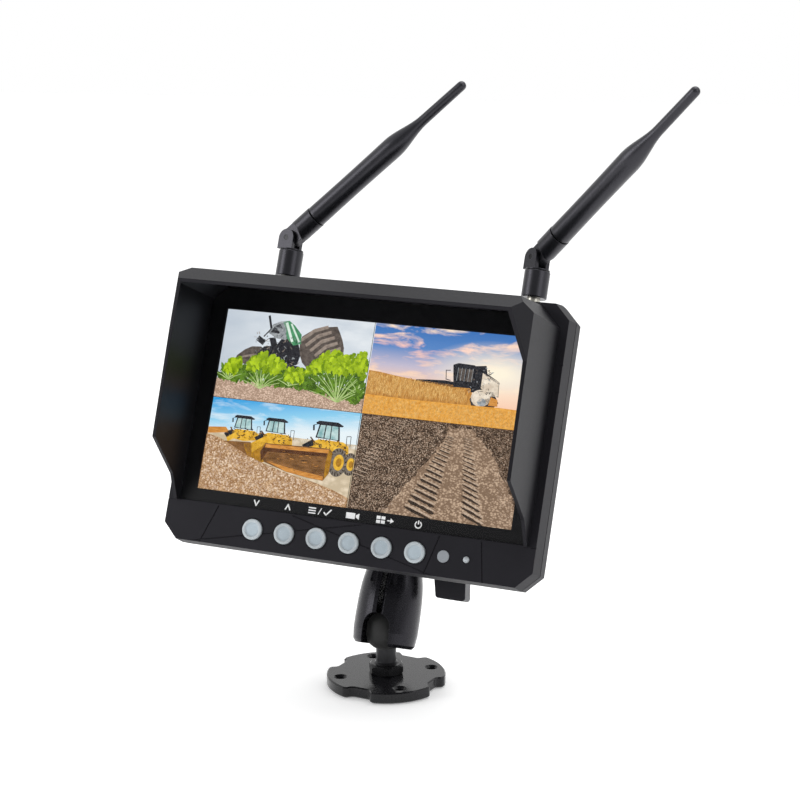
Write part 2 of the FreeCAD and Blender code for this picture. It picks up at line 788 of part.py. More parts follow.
def sensor_window():
    """Domed window over the light sensor."""
    return rod_y(sensor_d / 2, bezel_front - 0.3, 1.6, sensor_x, button_z)


def indicator_lens():
    """Light pipe of the indicator lamp."""
    dome = Part.makeSphere(lamp_d / 2, vec(lamp_x, bezel_front, button_z))
    return fused([rod_y(lamp_d / 2, bezel_front, 2.4, lamp_x, button_z), dome])


def speaker():
    """Small round speaker behind the grille."""
    x = speaker_x()
    z = speaker_z()
    y1 = back_y - wall - 0.3
    frame = rod_y(12.0, y1 - 2.0, y1, x, z).cut(rod_y(10.4, y1 - 0.8, y1 + 1, x, z))
    magnet = rod_y(7.5, y1 - 7.0, y1 - 1.9, x, z)
    return fused([frame, magnet])


def power_inlet():
    """Round four-way power and video inlet with a locking thread."""
    x = inlet_x()
    z = speaker_z()
    shell = rod_y(6.0, back_y - wall - 2, back_y + 7, x, z)
    flange = rod_y(8.0, back_y, back_y + 1.6, x, z)
    inlet = fused([shell, flange])
    inlet = inlet.cut(rod_y(4.6, back_y - 0.6, back_y + 8, x, z))
    pins = []
    for k in range(4):
        angle = math.radians(45 + 90 * k)
        px = x + 2.2 * math.cos(angle)
        pz = z + 2.2 * math.sin(angle)
        pins.append(rod_y(0.55, back_y - 1, back_y + 5, px, pz))
    return fused([inlet] + pins)


def housing_screws():
    """Four screws from the back through the tubes into the front frame."""
    screws = []
    for x in (-screw_x, screw_x):
        for z in (screw_z0, screw_z1):
            head = rod_y(2.8, boss_end + 3.0, boss_end + 5.2, x, z)
            slot = block(x - 1.8, x + 1.8, boss_end + 4.4, boss_end + 6, z - 0.35, z + 0.35)
            shank = rod_y(1.2, boss_end - 7, boss_end + 3.1, x, z)
            screws.append(fused([head.cut(slot), shank]))
    return Part.makeCompound(screws)


# ---------------------------------------------------------------- antennas
def antenna_jacks():
    """Threaded coaxial jacks through the top of the rear shell."""
    top_out = rim_z1 + side_draft - back_inset_top
    top_in = top_out - wall
    jacks = []
    for side in (-1, 1):
        x = side * antenna_x
        base = rod_z(3.7, top_in - 3.0, top_in, x, antenna_y)
        thread = rod_z(jack_r, top_in - 0.1, collar_z + 4.0, x, antenna_y)
        jack = fused([base, thread])
        jacks.append(jack.cut(rod_z(1.6, collar_z - 3, collar_z + 5, x, antenna_y)))
    return Part.makeCompound(jacks)


def jack_nuts():
    """Hexagon nuts that clamp the jacks."""
    top_out = rim_z1 + side_draft - back_inset_top
    nuts = []
    for side in (-1, 1):
        nuts.append(hexagon(8.0, 2.2, vec(side * antenna_x, antenna_y, top_out), Z_AXIS, jack_r + 0.01))
    return Part.makeCompound(nuts)


def antenna_collars():
    """Screw-on collars under the swivels."""
    collars = []
    for side in (-1, 1):
        x = side * antenna_x
        tube = rod_z(collar_r, collar_z, collar_z + collar_h, x, antenna_y)
        edges = [e for e in tube.Edges if e.Length > collar_r * 3]
        tube = tube.makeChamfer(0.4, edges)
        tube = tube.cut(rod_z(jack_r + 0.02, collar_z - 1, collar_z + 4.5, x, antenna_y))
        tube = tube.cut(rod_z(2.6 + fit_gap, collar_z + collar_h - 5, collar_z + collar_h + 1, x, antenna_y))
        collars.append(tube)
    return Part.makeCompound(collars)


def antenna_frame(side):
    """Placement of one swivel: origin on the hinge pin, antenna not yet folded."""
    swivel = left_swivel if side < 0 else right_swivel
    at = vec(side * antenna_x, antenna_y, hinge_z)
    return MONITOR_FRAME.multiply(FreeCAD.Placement(at, FreeCAD.Rotation(Z_AXIS, swivel)))


def fold_frame(side):
    """Placement of one whip, folded towards +X about its hinge pin."""
    fold = left_fold if side < 0 else right_fold
    turn = FreeCAD.Placement(vec(-hinge_shift, 0, 0), FreeCAD.Rotation(Y_AXIS, fold))
    return antenna_frame(side).multiply(turn)


def foot_bottom():
    """Height of the underside of the swivel foot, measured from the hinge pin."""
    return collar_z + collar_h - hinge_z + face_gap


def antenna_knuckle():
    """Swivel piece whose two cheeks hold the tongue of the whip."""
    floor = foot_bottom()
    spigot = rod_z(2.6, floor - 4.6, floor + 0.1)
    foot = rod_z(collar_r - 0.3, floor, floor + foot_t)
    inner = tongue_t / 2 + 0.2
    parts = [spigot, foot]
    for sign in (-1, 1):
        near = min(sign * inner, sign * (inner + cheek_t))
        x = -hinge_shift
        cheek = block(x - cheek_r, x + cheek_r, near, near + cheek_t, floor + foot_t - 0.1, 0)
        parts.append(cheek.fuse(rod_y(cheek_r, near, near + cheek_t, x, 0)))
    return fused(parts).cut(rod_y(1.2 + 0.01, -9, 9, -hinge_shift, 0))


def hinge_pin():
    """Pin through tongue and fork."""
    half = tongue_t / 2 + cheek_t + 0.1
    return rod_y(1.2, -half, half, -hinge_shift, 0)


def antenna_sleeve():
    """Lower end of the whip with its hinge tongue."""
    half = tongue_t / 2
    end_r = -(foot_bottom() + foot_t) - 0.3
    # round recesses that clear the cheeks and the foot over the whole fold
    clear = max(math.hypot(cheek_r, end_r + 0.4), collar_r + hinge_shift) + 0.1
    tube = rod_z(hinge_r, 0, sleeve_len)
    for sign in (-1, 1):
        tube = tube.cut(rod_y(clear, min(sign * half, sign * 20), max(sign * half, sign * 20), 0, 0))
    stem = block(-end_r, end_r, -half, half, 0, clear + 1)
    tube = tube.cut(rod_y(clear, -half, half, 0, 0))
    body = fused([tube, stem, rod_y(end_r, -half, half, 0, 0)])
    return body.cut(rod_y(1.2 + fit_gap, -9, 9, 0, 0))


def antenna_whip():
    """Tapered rod with a rounded tip."""
    knee = whip_len * 0.6
    neck = whip_len * 0.77
    tip = whip_len - whip_tip_r
    profile = [(0, sleeve_len), (whip_r, sleeve_len), (whip_r, knee), (whip_tip_r + 0.2, neck),
               (whip_tip_r, tip), (0, tip)]
    return fused([turned(profile), Part.makeSphere(whip_tip_r, vec(0, 0, tip))])


# ---------------------------------------------------------------- assembly
def main():
    """Build every sub-part and write it in its place."""
    os.makedirs("parts", exist_ok=True)
    save("base_plate", mounting_plate(plate_turn), BASE_FRAME)
    save("lower_ball_stud", ball_stud(), BASE_FRAME)
    save("lower_lock_nut", lock_nut(), BASE_FRAME)
    save("lower_ball_cover", ball_cover(), BASE_FRAME)
    save("monitor_plate", mounting_plate(0), UPPER_POST)
    save("upper_ball_stud", ball_stud(), UPPER_POST)
    save("upper_lock_nut", lock_nut(), UPPER_POST)
    save("upper_ball_cover", ball_cover(), UPPER_POST)
    save("plate_screws", plate_screws(), UPPER_POST)
    save("arm_left_half", arm_half(-1), ARM_FRAME)
    save("arm_right_half", arm_half(1), ARM_FRAME)
    save("clamp_bolt", clamp_bolt(), ARM_FRAME)
    save("clamp_spring", clamp_spring(), ARM_FRAME)
    save("knob_washer", knob_washer(), ARM_FRAME)
    save("clamp_knob", clamp_knob(), ARM_FRAME)
    save("knob_insert", knob_insert(), ARM_FRAME)
    monitor_parts = [("front_bezel", front_bezel), ("rear_housing", rear_housing), ("sun_hood", sun_hood),
                     ("screen_lens", screen_lens), ("lens_gasket", lens_gasket), ("lcd_panel", lcd_panel),
                     ("backlight_tray", backlight_tray), ("main_board", main_board),
                     ("board_chips", board_chips), ("radio_shield", radio_shield),
                     ("board_screws", board_screws), ("button_board", button_board),
                     ("key_switches", key_switches), ("sensor_window", sensor_window),
                     ("indicator_lens", indicator_lens), ("speaker", speaker), ("power_inlet", power_inlet),
                     ("housing_screws", housing_screws), ("antenna_jacks", antenna_jacks),
                     ("jack_nuts", jack_nuts), ("antenna_collars", antenna_collars)]
    for name, builder in monitor_parts:
        save(name, builder(), MONITOR_FRAME)
    for index in range(button_count):
        save("button_" + str(index + 1), push_button(index), MONITOR_FRAME)
    for side, word in ((-1, "left"), (1, "right")):
        save(word + "_knuckle", antenna_knuckle(), antenna_frame(side))
        save(word + "_hinge_pin", hinge_pin(), antenna_frame(side))
        save(word + "_sleeve", antenna_sleeve(), fold_frame(side))
        save(word + "_whip", antenna_whip(), fold_frame(side))


main()
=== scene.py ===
"""Looks for a wireless reversing monitor with a sun hood, twin antennas and a ball mount.

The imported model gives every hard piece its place. This script dresses those pieces and adds
what only shows: the lit picture behind the cover, the printed border and its symbols, the
rounded push buttons and the turned antennas.
"""

import json
import logging
import math
import random
from dataclasses import dataclass, field
from enum import Enum
from typing import Callable, Dict, List, Optional, Sequence, Tuple

import bmesh
import bpy
from mathutils import Matrix, Vector


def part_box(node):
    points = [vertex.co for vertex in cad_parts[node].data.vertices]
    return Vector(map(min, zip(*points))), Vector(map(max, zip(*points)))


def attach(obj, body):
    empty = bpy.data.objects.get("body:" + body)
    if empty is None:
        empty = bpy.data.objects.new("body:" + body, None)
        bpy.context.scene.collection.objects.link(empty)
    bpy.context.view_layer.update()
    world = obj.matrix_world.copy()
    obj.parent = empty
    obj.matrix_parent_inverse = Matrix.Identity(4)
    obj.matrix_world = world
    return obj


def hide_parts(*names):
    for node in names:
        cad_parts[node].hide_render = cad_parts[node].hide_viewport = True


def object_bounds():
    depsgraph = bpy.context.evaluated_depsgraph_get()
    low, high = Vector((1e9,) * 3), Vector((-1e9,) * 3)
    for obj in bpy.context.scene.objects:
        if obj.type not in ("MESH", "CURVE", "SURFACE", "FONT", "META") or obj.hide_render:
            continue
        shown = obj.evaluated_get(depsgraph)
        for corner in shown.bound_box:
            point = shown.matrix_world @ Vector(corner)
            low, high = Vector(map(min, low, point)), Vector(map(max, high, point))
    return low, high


Point2 = Tuple[float, float]
Colour = Tuple[float, float, float]

log = logging.getLogger("monitor")
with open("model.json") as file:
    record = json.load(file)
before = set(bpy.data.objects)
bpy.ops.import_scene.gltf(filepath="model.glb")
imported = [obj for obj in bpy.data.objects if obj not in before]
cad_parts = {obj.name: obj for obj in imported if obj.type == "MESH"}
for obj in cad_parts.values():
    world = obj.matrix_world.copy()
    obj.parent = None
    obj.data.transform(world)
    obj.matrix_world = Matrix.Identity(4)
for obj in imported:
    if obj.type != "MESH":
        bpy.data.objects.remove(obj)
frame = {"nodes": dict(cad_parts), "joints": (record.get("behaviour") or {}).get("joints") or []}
CAD_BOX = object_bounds()
MM = 0.001


# ------------------------------------------------------------------ places
class Bodies(Enum):
    """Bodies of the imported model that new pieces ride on."""

    MONITOR = "monitor"
    LEFT_ANTENNA = "left_antenna"
    RIGHT_ANTENNA = "right_antenna"


def joint(name: str) -> dict:
    """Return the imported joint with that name.

    Args:
        name: Joint name in the record.

    Returns:
        The joint's record entry.
    """
    return next(j for j in frame["joints"] if j["name"] == name)


def axes_frame(origin: Vector, right: Vector, up: Vector) -> Matrix:
    """Build a placement in millimetres whose X is right, Z is up and Y points back.

    Args:
        origin: Origin in metres in the row frame.
        right: Unit X direction.
        up: Unit Z direction.

    Returns:
        A matrix from local millimetres to row-frame metres.
    """
    back = up.cross(right)
    turn = Matrix((right, back, up)).transposed().to_4x4()
    return Matrix.Translation(origin) @ turn @ Matrix.Scale(MM, 4)


@dataclass(frozen=True)
class MonitorFrame:
    """Local frame of the monitor, with its origin at the centre of the picture, in millimetres."""

    glass_thickness: float = 2.8
    picture_w: float = 154.1
    picture_h: float = 85.9
    ball_below: float = 17.8
    button_z: float = -58.6
    panel_half: float = 84.35
    panel_top: float = 52.95
    panel_bottom: float = -48.75
    bezel_front: float = -3.2

    def matrix(self) -> Matrix:
        """Return the placement from monitor millimetres to row-frame metres."""
        right = Vector(joint("upper_tilt")["axis"]).normalized()
        up = Vector(joint("upper_pan")["axis"]).normalized()
        back = Vector(joint("upper_roll")["axis"]).normalized()
        ball = Vector(joint("upper_roll")["pos_m"])
        low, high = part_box("lcd_panel")
        centre = (low + high) / 2
        # the front face of the display glass carries the picture
        to_front = (centre - ball).dot(back) / MM - self.glass_thickness / 2
        origin = ball + back * (to_front * MM) + up * (self.ball_below * MM)
        return axes_frame(origin, right, up)

    def screen(self) -> Matrix:
        """Return the placement of flat drawing: X right, Y up, Z out of the screen."""
        turn = Matrix(((1, 0, 0, 0), (0, 0, -1, 0), (0, 1, 0, 0), (0, 0, 0, 1)))
        return self.matrix() @ turn


# ------------------------------------------------------------------ mesh tools
def mesh_from(bm: bmesh.types.BMesh, name: str) -> bpy.types.Mesh:
    """Return the mesh of an edit mesh, which is freed."""
    mesh = bpy.data.meshes.new(name)
    bm.to_mesh(mesh)
    bm.free()
    return mesh


def lay_out(mesh: bpy.types.Mesh) -> None:
    """Store the drawing coordinates of a mesh in centimetres."""
    drawing = mesh.uv_layers.get("drawing") or mesh.uv_layers.new(name="drawing")
    for loop in mesh.loops:
        co = mesh.vertices[loop.vertex_index].co
        drawing.data[loop.index].uv = (co.x / 10, co.y / 10)


def finish_mesh(name: str, mesh: bpy.types.Mesh, place: Matrix, smooth: bool = False) -> bpy.types.Object:
    """Turn a local mesh into a finished piece at the origin.

    Args:
        name: Piece name.
        mesh: Mesh in local millimetres.
        place: Placement to row-frame metres.
        smooth: Whether the faces shade smooth.

    Returns:
        The linked object.
    """
    mesh.transform(place)
    mesh.name = name
    for face in mesh.polygons:
        face.use_smooth = smooth
    piece = bpy.data.objects.new(name, mesh)
    bpy.context.scene.collection.objects.link(piece)
    return piece


def prism_into(bm: bmesh.types.BMesh, outline: Sequence[Point2], low: float, high: float,
               slot: int) -> None:
    """Add a closed flat prism to a mesh in drawing space.

    Args:
        bm: Mesh being built.
        outline: Corners in millimetres, either way round.
        low: Lower height.
        high: Upper height.
        slot: Material index.
    """
    area = sum(a[0] * b[1] - b[0] * a[1] for a, b in zip(outline, list(outline[1:]) + [outline[0]]))
    points = list(outline) if area > 0 else list(reversed(outline))
    bottom = [bm.verts.new((x, y, low)) for x, y in points]
    top = [bm.verts.new((x, y, high)) for x, y in points]
    faces = [bm.faces.new(top), bm.faces.new(list(reversed(bottom)))]
    for i in range(len(points)):
        k = (i + 1) % len(points)
        faces.append(bm.faces.new((bottom[i], bottom[k], top[k], top[i])))
    for face in faces:
        face.material_index = slot


def lathe(profile: Sequence[Point2], steps: int = 64) -> bpy.types.Mesh:
    """Turn a profile of radius and height pairs about Z into a closed mesh.

    Args:
        profile: Radius and height pairs from the lower pole to the upper one.
        steps: Number of segments.

    Returns:
        The mesh, with outward faces.
    """
    bm = bmesh.new()
    rings: List[List[bmesh.types.BMVert]] = []
    for radius, height in profile:
        if radius < 1e-6:
            rings.append([bm.verts.new((0, 0, height))])
            continue
        ring = []
        for k in range(steps):
            angle = 2 * math.pi * k / steps
            ring.append(bm.verts.new((radius * math.cos(angle), radius * math.sin(angle), height)))
        rings.append(ring)
    for lower, upper in zip(rings, rings[1:]):
        for k in range(steps):
            j = (k + 1) % steps
            if len(lower) == 1:
                bm.faces.new((lower[0], upper[j], upper[k]))
            elif len(upper) == 1:
                bm.faces.new((lower[k], lower[j], upper[0]))
            else:
                bm.faces.new((lower[k], lower[j], upper[j], upper[k]))
    bmesh.ops.recalc_face_normals(bm, faces=bm.faces)
    mesh = mesh_from(bm, "turned")
    return mesh


def rounded(start: Point2, corner: Point2, end: Point2, radius: float, steps: int = 5) -> List[Point2]:
    """Return points that round one corner of a profile.

    Args:
        start: Point before the corner.
        corner: The sharp corner.
        end: Point after the corner.
        radius: Distance of the rounding from the corner.
        steps: Number of segments.

    Returns:
        Points along the rounding.
    """
    c = Vector(corner)
    a = c + (Vector(start) - c).normalized() * radius
    b = c + (Vector(end) - c).normalized() * radius
    points = []
    for k in range(steps + 1):
        t = k / steps
        p = a * (1 - t) ** 2 + c * 2 * t * (1 - t) + b * t ** 2
        points.append((p.x, p.y))
    return points


def oval(u: float, v: float, ru: float, rv: float, steps: int = 28) -> List[Point2]:
    """Return the outline of an oval."""
    angles = [2 * math.pi * k / steps for k in range(steps)]
    return [(u + ru * math.cos(angle), v + rv * math.sin(angle)) for angle in angles]


def bar(a: Point2, b: Point2, width: float, end_width: Optional[float] = None) -> List[Point2]:
    """Return the outline of a straight bar that may taper."""
    end = width if end_width is None else end_width
    d = Vector((b[0] - a[0], b[1] - a[1])).normalized()
    n = Vector((-d.y, d.x))
    return [(a[0] + n.x * width / 2, a[1] + n.y * width / 2), (a[0] - n.x * width / 2, a[1] - n.y * width / 2),
            (b[0] - n.x * end / 2, b[1] - n.y * end / 2), (b[0] + n.x * end / 2, b[1] + n.y * end / 2)]


# ------------------------------------------------------------------ material recipes
def add_node(tree: bpy.types.NodeTree, kind: str, **values: object) -> bpy.types.Node:
    """Add a node and set its properties, or set or link its inputs.

    Args:
        tree: Tree to add to.
        kind: Node type name.
        values: Property names, or input names with underscores for spaces.

    Returns:
        The new node.
    """
    made = tree.nodes.new(kind)
    for key, value in values.items():
        if hasattr(made, key):
            setattr(made, key, value)
            continue
        socket = made.inputs[key.replace("_", " ")]
        if isinstance(value, bpy.types.NodeSocket):
            tree.links.new(value, socket)
        else:
            socket.default_value = value
    return made


class Recipe:
    """Builds one node material step by step."""

    def __init__(self, name: str) -> None:
        """Start an empty material with a principled shader."""
        self.material = bpy.data.materials.new(name)
        self.material.use_nodes = True
        self.tree = self.material.node_tree
        self.tree.nodes.clear()
        self.out = self.tree.nodes.new("ShaderNodeOutputMaterial")
        self.shader = self.tree.nodes.new("ShaderNodeBsdfPrincipled")
        self.link(self.shader.outputs[0], self.out.inputs[0])

    def link(self, a: bpy.types.NodeSocket, b: bpy.types.NodeSocket) -> None:
        """Join two sockets."""
        self.tree.links.new(a, b)

    def node(self, kind: str, **values: object) -> bpy.types.Node:
        """Add a node to this material."""
        return add_node(self.tree, kind, **values)

    def place(self, scale: Sequence[float] = (1, 1, 1)) -> bpy.types.NodeSocket:
        """Return object coordinates in millimetres, stretched."""
        coords = self.node("ShaderNodeTexCoord")
        mapping = self.node("ShaderNodeMapping", Vector=coords.outputs["Object"])
        mapping.inputs["Scale"].default_value = [1000 * s for s in scale]
        return mapping.outputs[0]

    def drawn(self, scale: Sequence[float] = (1, 1, 1), turn: float = 0.0) -> bpy.types.NodeSocket:
        """Return drawing coordinates in centimetres on the picture, stretched and turned."""
        uv = self.node("ShaderNodeUVMap", uv_map="drawing")
        mapping = self.node("ShaderNodeMapping", Vector=uv.outputs[0])
        mapping.inputs["Scale"].default_value = scale
        mapping.inputs["Rotation"].default_value = (0, 0, math.radians(turn))
        return mapping.outputs[0]

    def noise(self, vector: bpy.types.NodeSocket, scale: float, detail: float = 3.0,
              rough: float = 0.55, bend: float = 0.0) -> bpy.types.NodeSocket:
        """Return the value of a noise texture."""
        made = self.node("ShaderNodeTexNoise", Vector=vector, Scale=scale, Detail=detail, Roughness=rough,
                         Distortion=bend)
        return made.outputs["Fac"] if "Fac" in made.outputs else made.outputs[0]

    def cells(self, vector: bpy.types.NodeSocket, scale: float, output: str = "Distance") -> bpy.types.NodeSocket:
        """Return one output of a cell texture."""
        return self.node("ShaderNodeTexVoronoi", Vector=vector, Scale=scale).outputs[output]

    def ramp(self, value: bpy.types.NodeSocket,
             stops: Sequence[Tuple[float, Sequence[float]]]) -> bpy.types.NodeSocket:
        """Return a colour ramp of a value.

        Args:
            value: Driving value.
            stops: Position and colour pairs.

        Returns:
            The colour socket.
        """
        made = self.node("ShaderNodeValToRGB", Fac=value)
        band = made.color_ramp
        while len(band.elements) < len(stops):
            band.elements.new(0.5)
        for element, (position, colour) in zip(band.elements, stops):
            element.position = position
            element.color = (*colour, 1.0) if len(colour) == 3 else colour
        return made.outputs[0]

    def levels(self, value: bpy.types.NodeSocket, low: float, high: float, to_low: float = 0.0,
               to_high: float = 1.0) -> bpy.types.NodeSocket:
        """Return a value stretched from one range to another, clamped."""
        made = self.node("ShaderNodeMapRange", Value=value)
        made.inputs[1].default_value = low
        made.inputs[2].default_value = high
        made.inputs[3].default_value = to_low
        made.inputs[4].default_value = to_high
        return made.outputs[0]

    def blend(self, share: object, a: object, b: object) -> bpy.types.NodeSocket:
        """Return two colours mixed by a share."""
        made = self.node("ShaderNodeMix", data_type="RGBA")
        for index, value in ((0, share), (6, a), (7, b)):
            if isinstance(value, bpy.types.NodeSocket):
                self.link(value, made.inputs[index])
            elif isinstance(value, (int, float)):
                made.inputs[index].default_value = value
            else:
                made.inputs[index].default_value = (*value, 1.0)
        return made.outputs[2]

    def maths(self, operation: str, a: object, b: object = 0.0) -> bpy.types.NodeSocket:
        """Return the result of one arithmetic step."""
        made = self.node("ShaderNodeMath", operation=operation)
        for index, value in ((0, a), (1, b)):
            if isinstance(value, bpy.types.NodeSocket):
                self.link(value, made.inputs[index])
            else:
                made.inputs[index].default_value = value
        return made.outputs[0]

    def attribute(self, name: str) -> bpy.types.NodeSocket:
        """Return a named value stored on the mesh."""
        return self.node("ShaderNodeAttribute", attribute_name=name).outputs["Fac"]

    def relief(self, height: bpy.types.NodeSocket, depth_mm: float, edge_mm: float = 0.0) -> None:
        """Dent the shader's normal by a height value and soften sharp edges.

        Args:
            height: Height value.
            depth_mm: Depth of the relief in millimetres.
            edge_mm: Radius of the edge softening, or zero for none.
        """
        bump = self.node("ShaderNodeBump", Height=height, Strength=1.0, Distance=depth_mm * MM)
        if edge_mm > 0:
            soft = self.node("ShaderNodeBevel", samples=4, Radius=edge_mm * MM)
            self.link(soft.outputs[0], bump.inputs["Normal"])
        self.link(bump.outputs[0], self.shader.inputs["Normal"])

    def glow(self, colour: bpy.types.NodeSocket, strength: float = 1.0) -> None:
        """Make the surface a lit part of the picture."""
        self.shader.inputs["Base Color"].default_value = (0.004, 0.004, 0.004, 1)
        self.shader.inputs["Roughness"].default_value = 0.6
        self.shader.inputs["Specular IOR Level"].default_value = 0.0
        self.link(colour, self.shader.inputs["Emission Color"])
        self.shader.inputs["Emission Strength"].default_value = strength


@dataclass(frozen=True)
class MouldedPlastic:
    """Injection-moulded plastic with a spark-eroded grain and slightly worn edges."""

    name: str
    colour: Colour
    roughness: float = 0.55
    grain: float = 2.6
    grain_depth: float = 0.02
    edge: float = 0.35
    specular: float = 0.5

    def build(self) -> bpy.types.Material:
        """Return the material."""
        r = Recipe(self.name)
        coords = r.place()
        fine = r.noise(coords, self.grain, 4.0, 0.6)
        broad = r.noise(coords, 0.035, 3.0, 0.5)
        dark = tuple(c * 0.82 for c in self.colour)
        light = tuple(min(1.0, c * 1.2) for c in self.colour)
        base = r.ramp(r.levels(broad, 0.3, 0.7), [(0.0, dark), (1.0, light)])
        speck = r.levels(r.noise(coords, self.grain * 1.7, 2.0, 0.5), 0.62, 0.8)
        pale = tuple(min(1.0, c * 1.7 + 0.01) for c in self.colour)
        r.link(r.blend(speck, base, pale), r.shader.inputs["Base Color"])
        r.link(r.levels(fine, 0.2, 0.8, self.roughness - 0.08, self.roughness + 0.1),
               r.shader.inputs["Roughness"])
        r.shader.inputs["Specular IOR Level"].default_value = self.specular
        r.shader.inputs["Specular Tint"].default_value = (0.9, 0.88, 1.0, 1.0)
        r.relief(fine, self.grain_depth, self.edge)
        return r.material


@dataclass(frozen=True)
class TurnedMetal:
    """Metal with fine tool marks and uneven polish."""

    name: str
    colour: Colour
    roughness: float = 0.3
    metallic: float = 1.0
    marks: float = 6.0
    edge: float = 0.2

    def build(self) -> bpy.types.Material:
        """Return the material."""
        r = Recipe(self.name)
        streaks = r.noise(r.place((1, 1, 9)), self.marks / 9, 4.0, 0.65)
        cloud = r.noise(r.place(), 0.2, 3.0, 0.6)
        dark = tuple(c * 0.7 for c in self.colour)
        r.link(r.ramp(r.levels(cloud, 0.3, 0.7), [(0.0, dark), (1.0, self.colour)]),
               r.shader.inputs["Base Color"])
        r.link(r.levels(streaks, 0.25, 0.75, self.roughness * 0.75, self.roughness * 1.3),
               r.shader.inputs["Roughness"])
        r.shader.inputs["Metallic"].default_value = self.metallic
        r.relief(streaks, 0.008, self.edge)
        return r.material


@dataclass(frozen=True)
class PaintedPlate:
    """Powder-coated metal with an orange-peel skin and a fine metallic fleck."""

    name: str
    colour: Colour
    roughness: float = 0.42

    def build(self) -> bpy.types.Material:
        """Return the material."""
        r = Recipe(self.name)
        coords = r.place()
        peel = r.noise(coords, 1.1, 2.0, 0.5)
        fleck = r.levels(r.cells(coords, 2.2), 0.0, 0.16, 1.0, 0.0)
        light = tuple(min(1.0, c * 1.9) for c in self.colour)
        tone = r.ramp(r.levels(r.noise(coords, 0.06, 3.0), 0.3, 0.7),
                      [(0.0, tuple(c * 0.85 for c in self.colour)), (1.0, tuple(c * 1.15 for c in self.colour))])
        r.link(r.blend(fleck, tone, light), r.shader.inputs["Base Color"])
        r.link(r.levels(peel, 0.3, 0.7, self.roughness - 0.07, self.roughness + 0.08),
               r.shader.inputs["Roughness"])
        r.shader.inputs["Metallic"].default_value = 0.04
        r.shader.inputs["Specular IOR Level"].default_value = 0.2
        r.shader.inputs["Coat Weight"].default_value = 0.3
        r.shader.inputs["Coat Roughness"].default_value = 0.12
        r.relief(peel, 0.02, 0.3)
        return r.material


@dataclass(frozen=True)
class SoftRubber:
    """Moulded rubber with a dusty, matte skin."""

    name: str
    colour: Colour

    def build(self) -> bpy.types.Material:
        """Return the material."""
        r = Recipe(self.name)
        coords = r.place()
        skin = r.noise(coords, 1.4, 5.0, 0.65)
        dust = r.levels(r.noise(coords, 0.12, 4.0, 0.6), 0.45, 0.75)
        r.link(r.blend(dust, self.colour, tuple(c * 1.9 + 0.004 for c in self.colour)),
               r.shader.inputs["Base Color"])
        r.link(r.levels(skin, 0.2, 0.8, 0.5, 0.72), r.shader.inputs["Roughness"])
        r.shader.inputs["Sheen Weight"].default_value = 0.15
        r.relief(skin, 0.03, 0.3)
        return r.material


@dataclass(frozen=True)
class ClearCover:
    """Clear cover that lets the picture through and carries soft reflections."""

    name: str = "clear cover"
    ratio: float = 1.2

    def build(self) -> bpy.types.Material:
        """Return the material."""
        r = Recipe(self.name)
        r.tree.nodes.remove(r.shader)
        clear = r.node("ShaderNodeBsdfTransparent")
        clear.inputs["Color"].default_value = (0.985, 0.99, 0.99, 1)
        gloss = r.node("ShaderNodeBsdfGlossy")
        smear = r.noise(r.place(), 0.05, 3.0, 0.6)
        r.link(r.levels(smear, 0.3, 0.7, 0.06, 0.13), gloss.inputs["Roughness"])
        edge = r.node("ShaderNodeFresnel")
        # a ray that leaves the cover at a slant has to get out, so the back faces take the inverse ratio
        inside = r.node("ShaderNodeNewGeometry").outputs["Backfacing"]
        r.link(r.levels(inside, 0.0, 1.0, self.ratio, 1 / self.ratio), edge.inputs["IOR"])
        mix = r.node("ShaderNodeMixShader")
        r.link(edge.outputs[0], mix.inputs[0])
        r.link(clear.outputs[0], mix.inputs[1])
        r.link(gloss.outputs[0], mix.inputs[2])
        r.link(mix.outputs[0], r.out.inputs[0])
        return r.material


@dataclass(frozen=True)
class CircuitBoard:
    """Green solder mask with copper tracks under it."""

    name: str = "solder mask"

    def build(self) -> bpy.types.Material:
        """Return the material."""
        r = Recipe(self.name)
        coords = r.place()
        brick = r.cells(coords, 0.35, "Color")
        tracks = r.levels(r.noise(brick, 3.0, 2.0), 0.5, 0.56)
        r.link(r.blend(tracks, (0.01, 0.09, 0.03), (0.02, 0.16, 0.05)), r.shader.inputs["Base Color"])
        r.shader.inputs["Roughness"].default_value = 0.35
        r.relief(tracks, 0.03)
        return r.material


@dataclass(frozen=True)
class Print:
    """Opaque screen print with a faintly uneven edge to its ink."""

    name: str
    colour: Colour
    roughness: float = 0.4

    def build(self) -> bpy.types.Material:
        """Return the material."""
        r = Recipe(self.name)
        ink = r.noise(r.place(), 1.6, 3.0)
        low = tuple(c * 0.9 for c in self.colour)
        r.link(r.ramp(ink, [(0.3, low), (0.7, self.colour)]), r.shader.inputs["Base Color"])
        r.link(r.levels(ink, 0.3, 0.7, self.roughness - 0.05, self.roughness + 0.05),
               r.shader.inputs["Roughness"])
        r.shader.inputs["Specular IOR Level"].default_value = 0.15
        return r.material


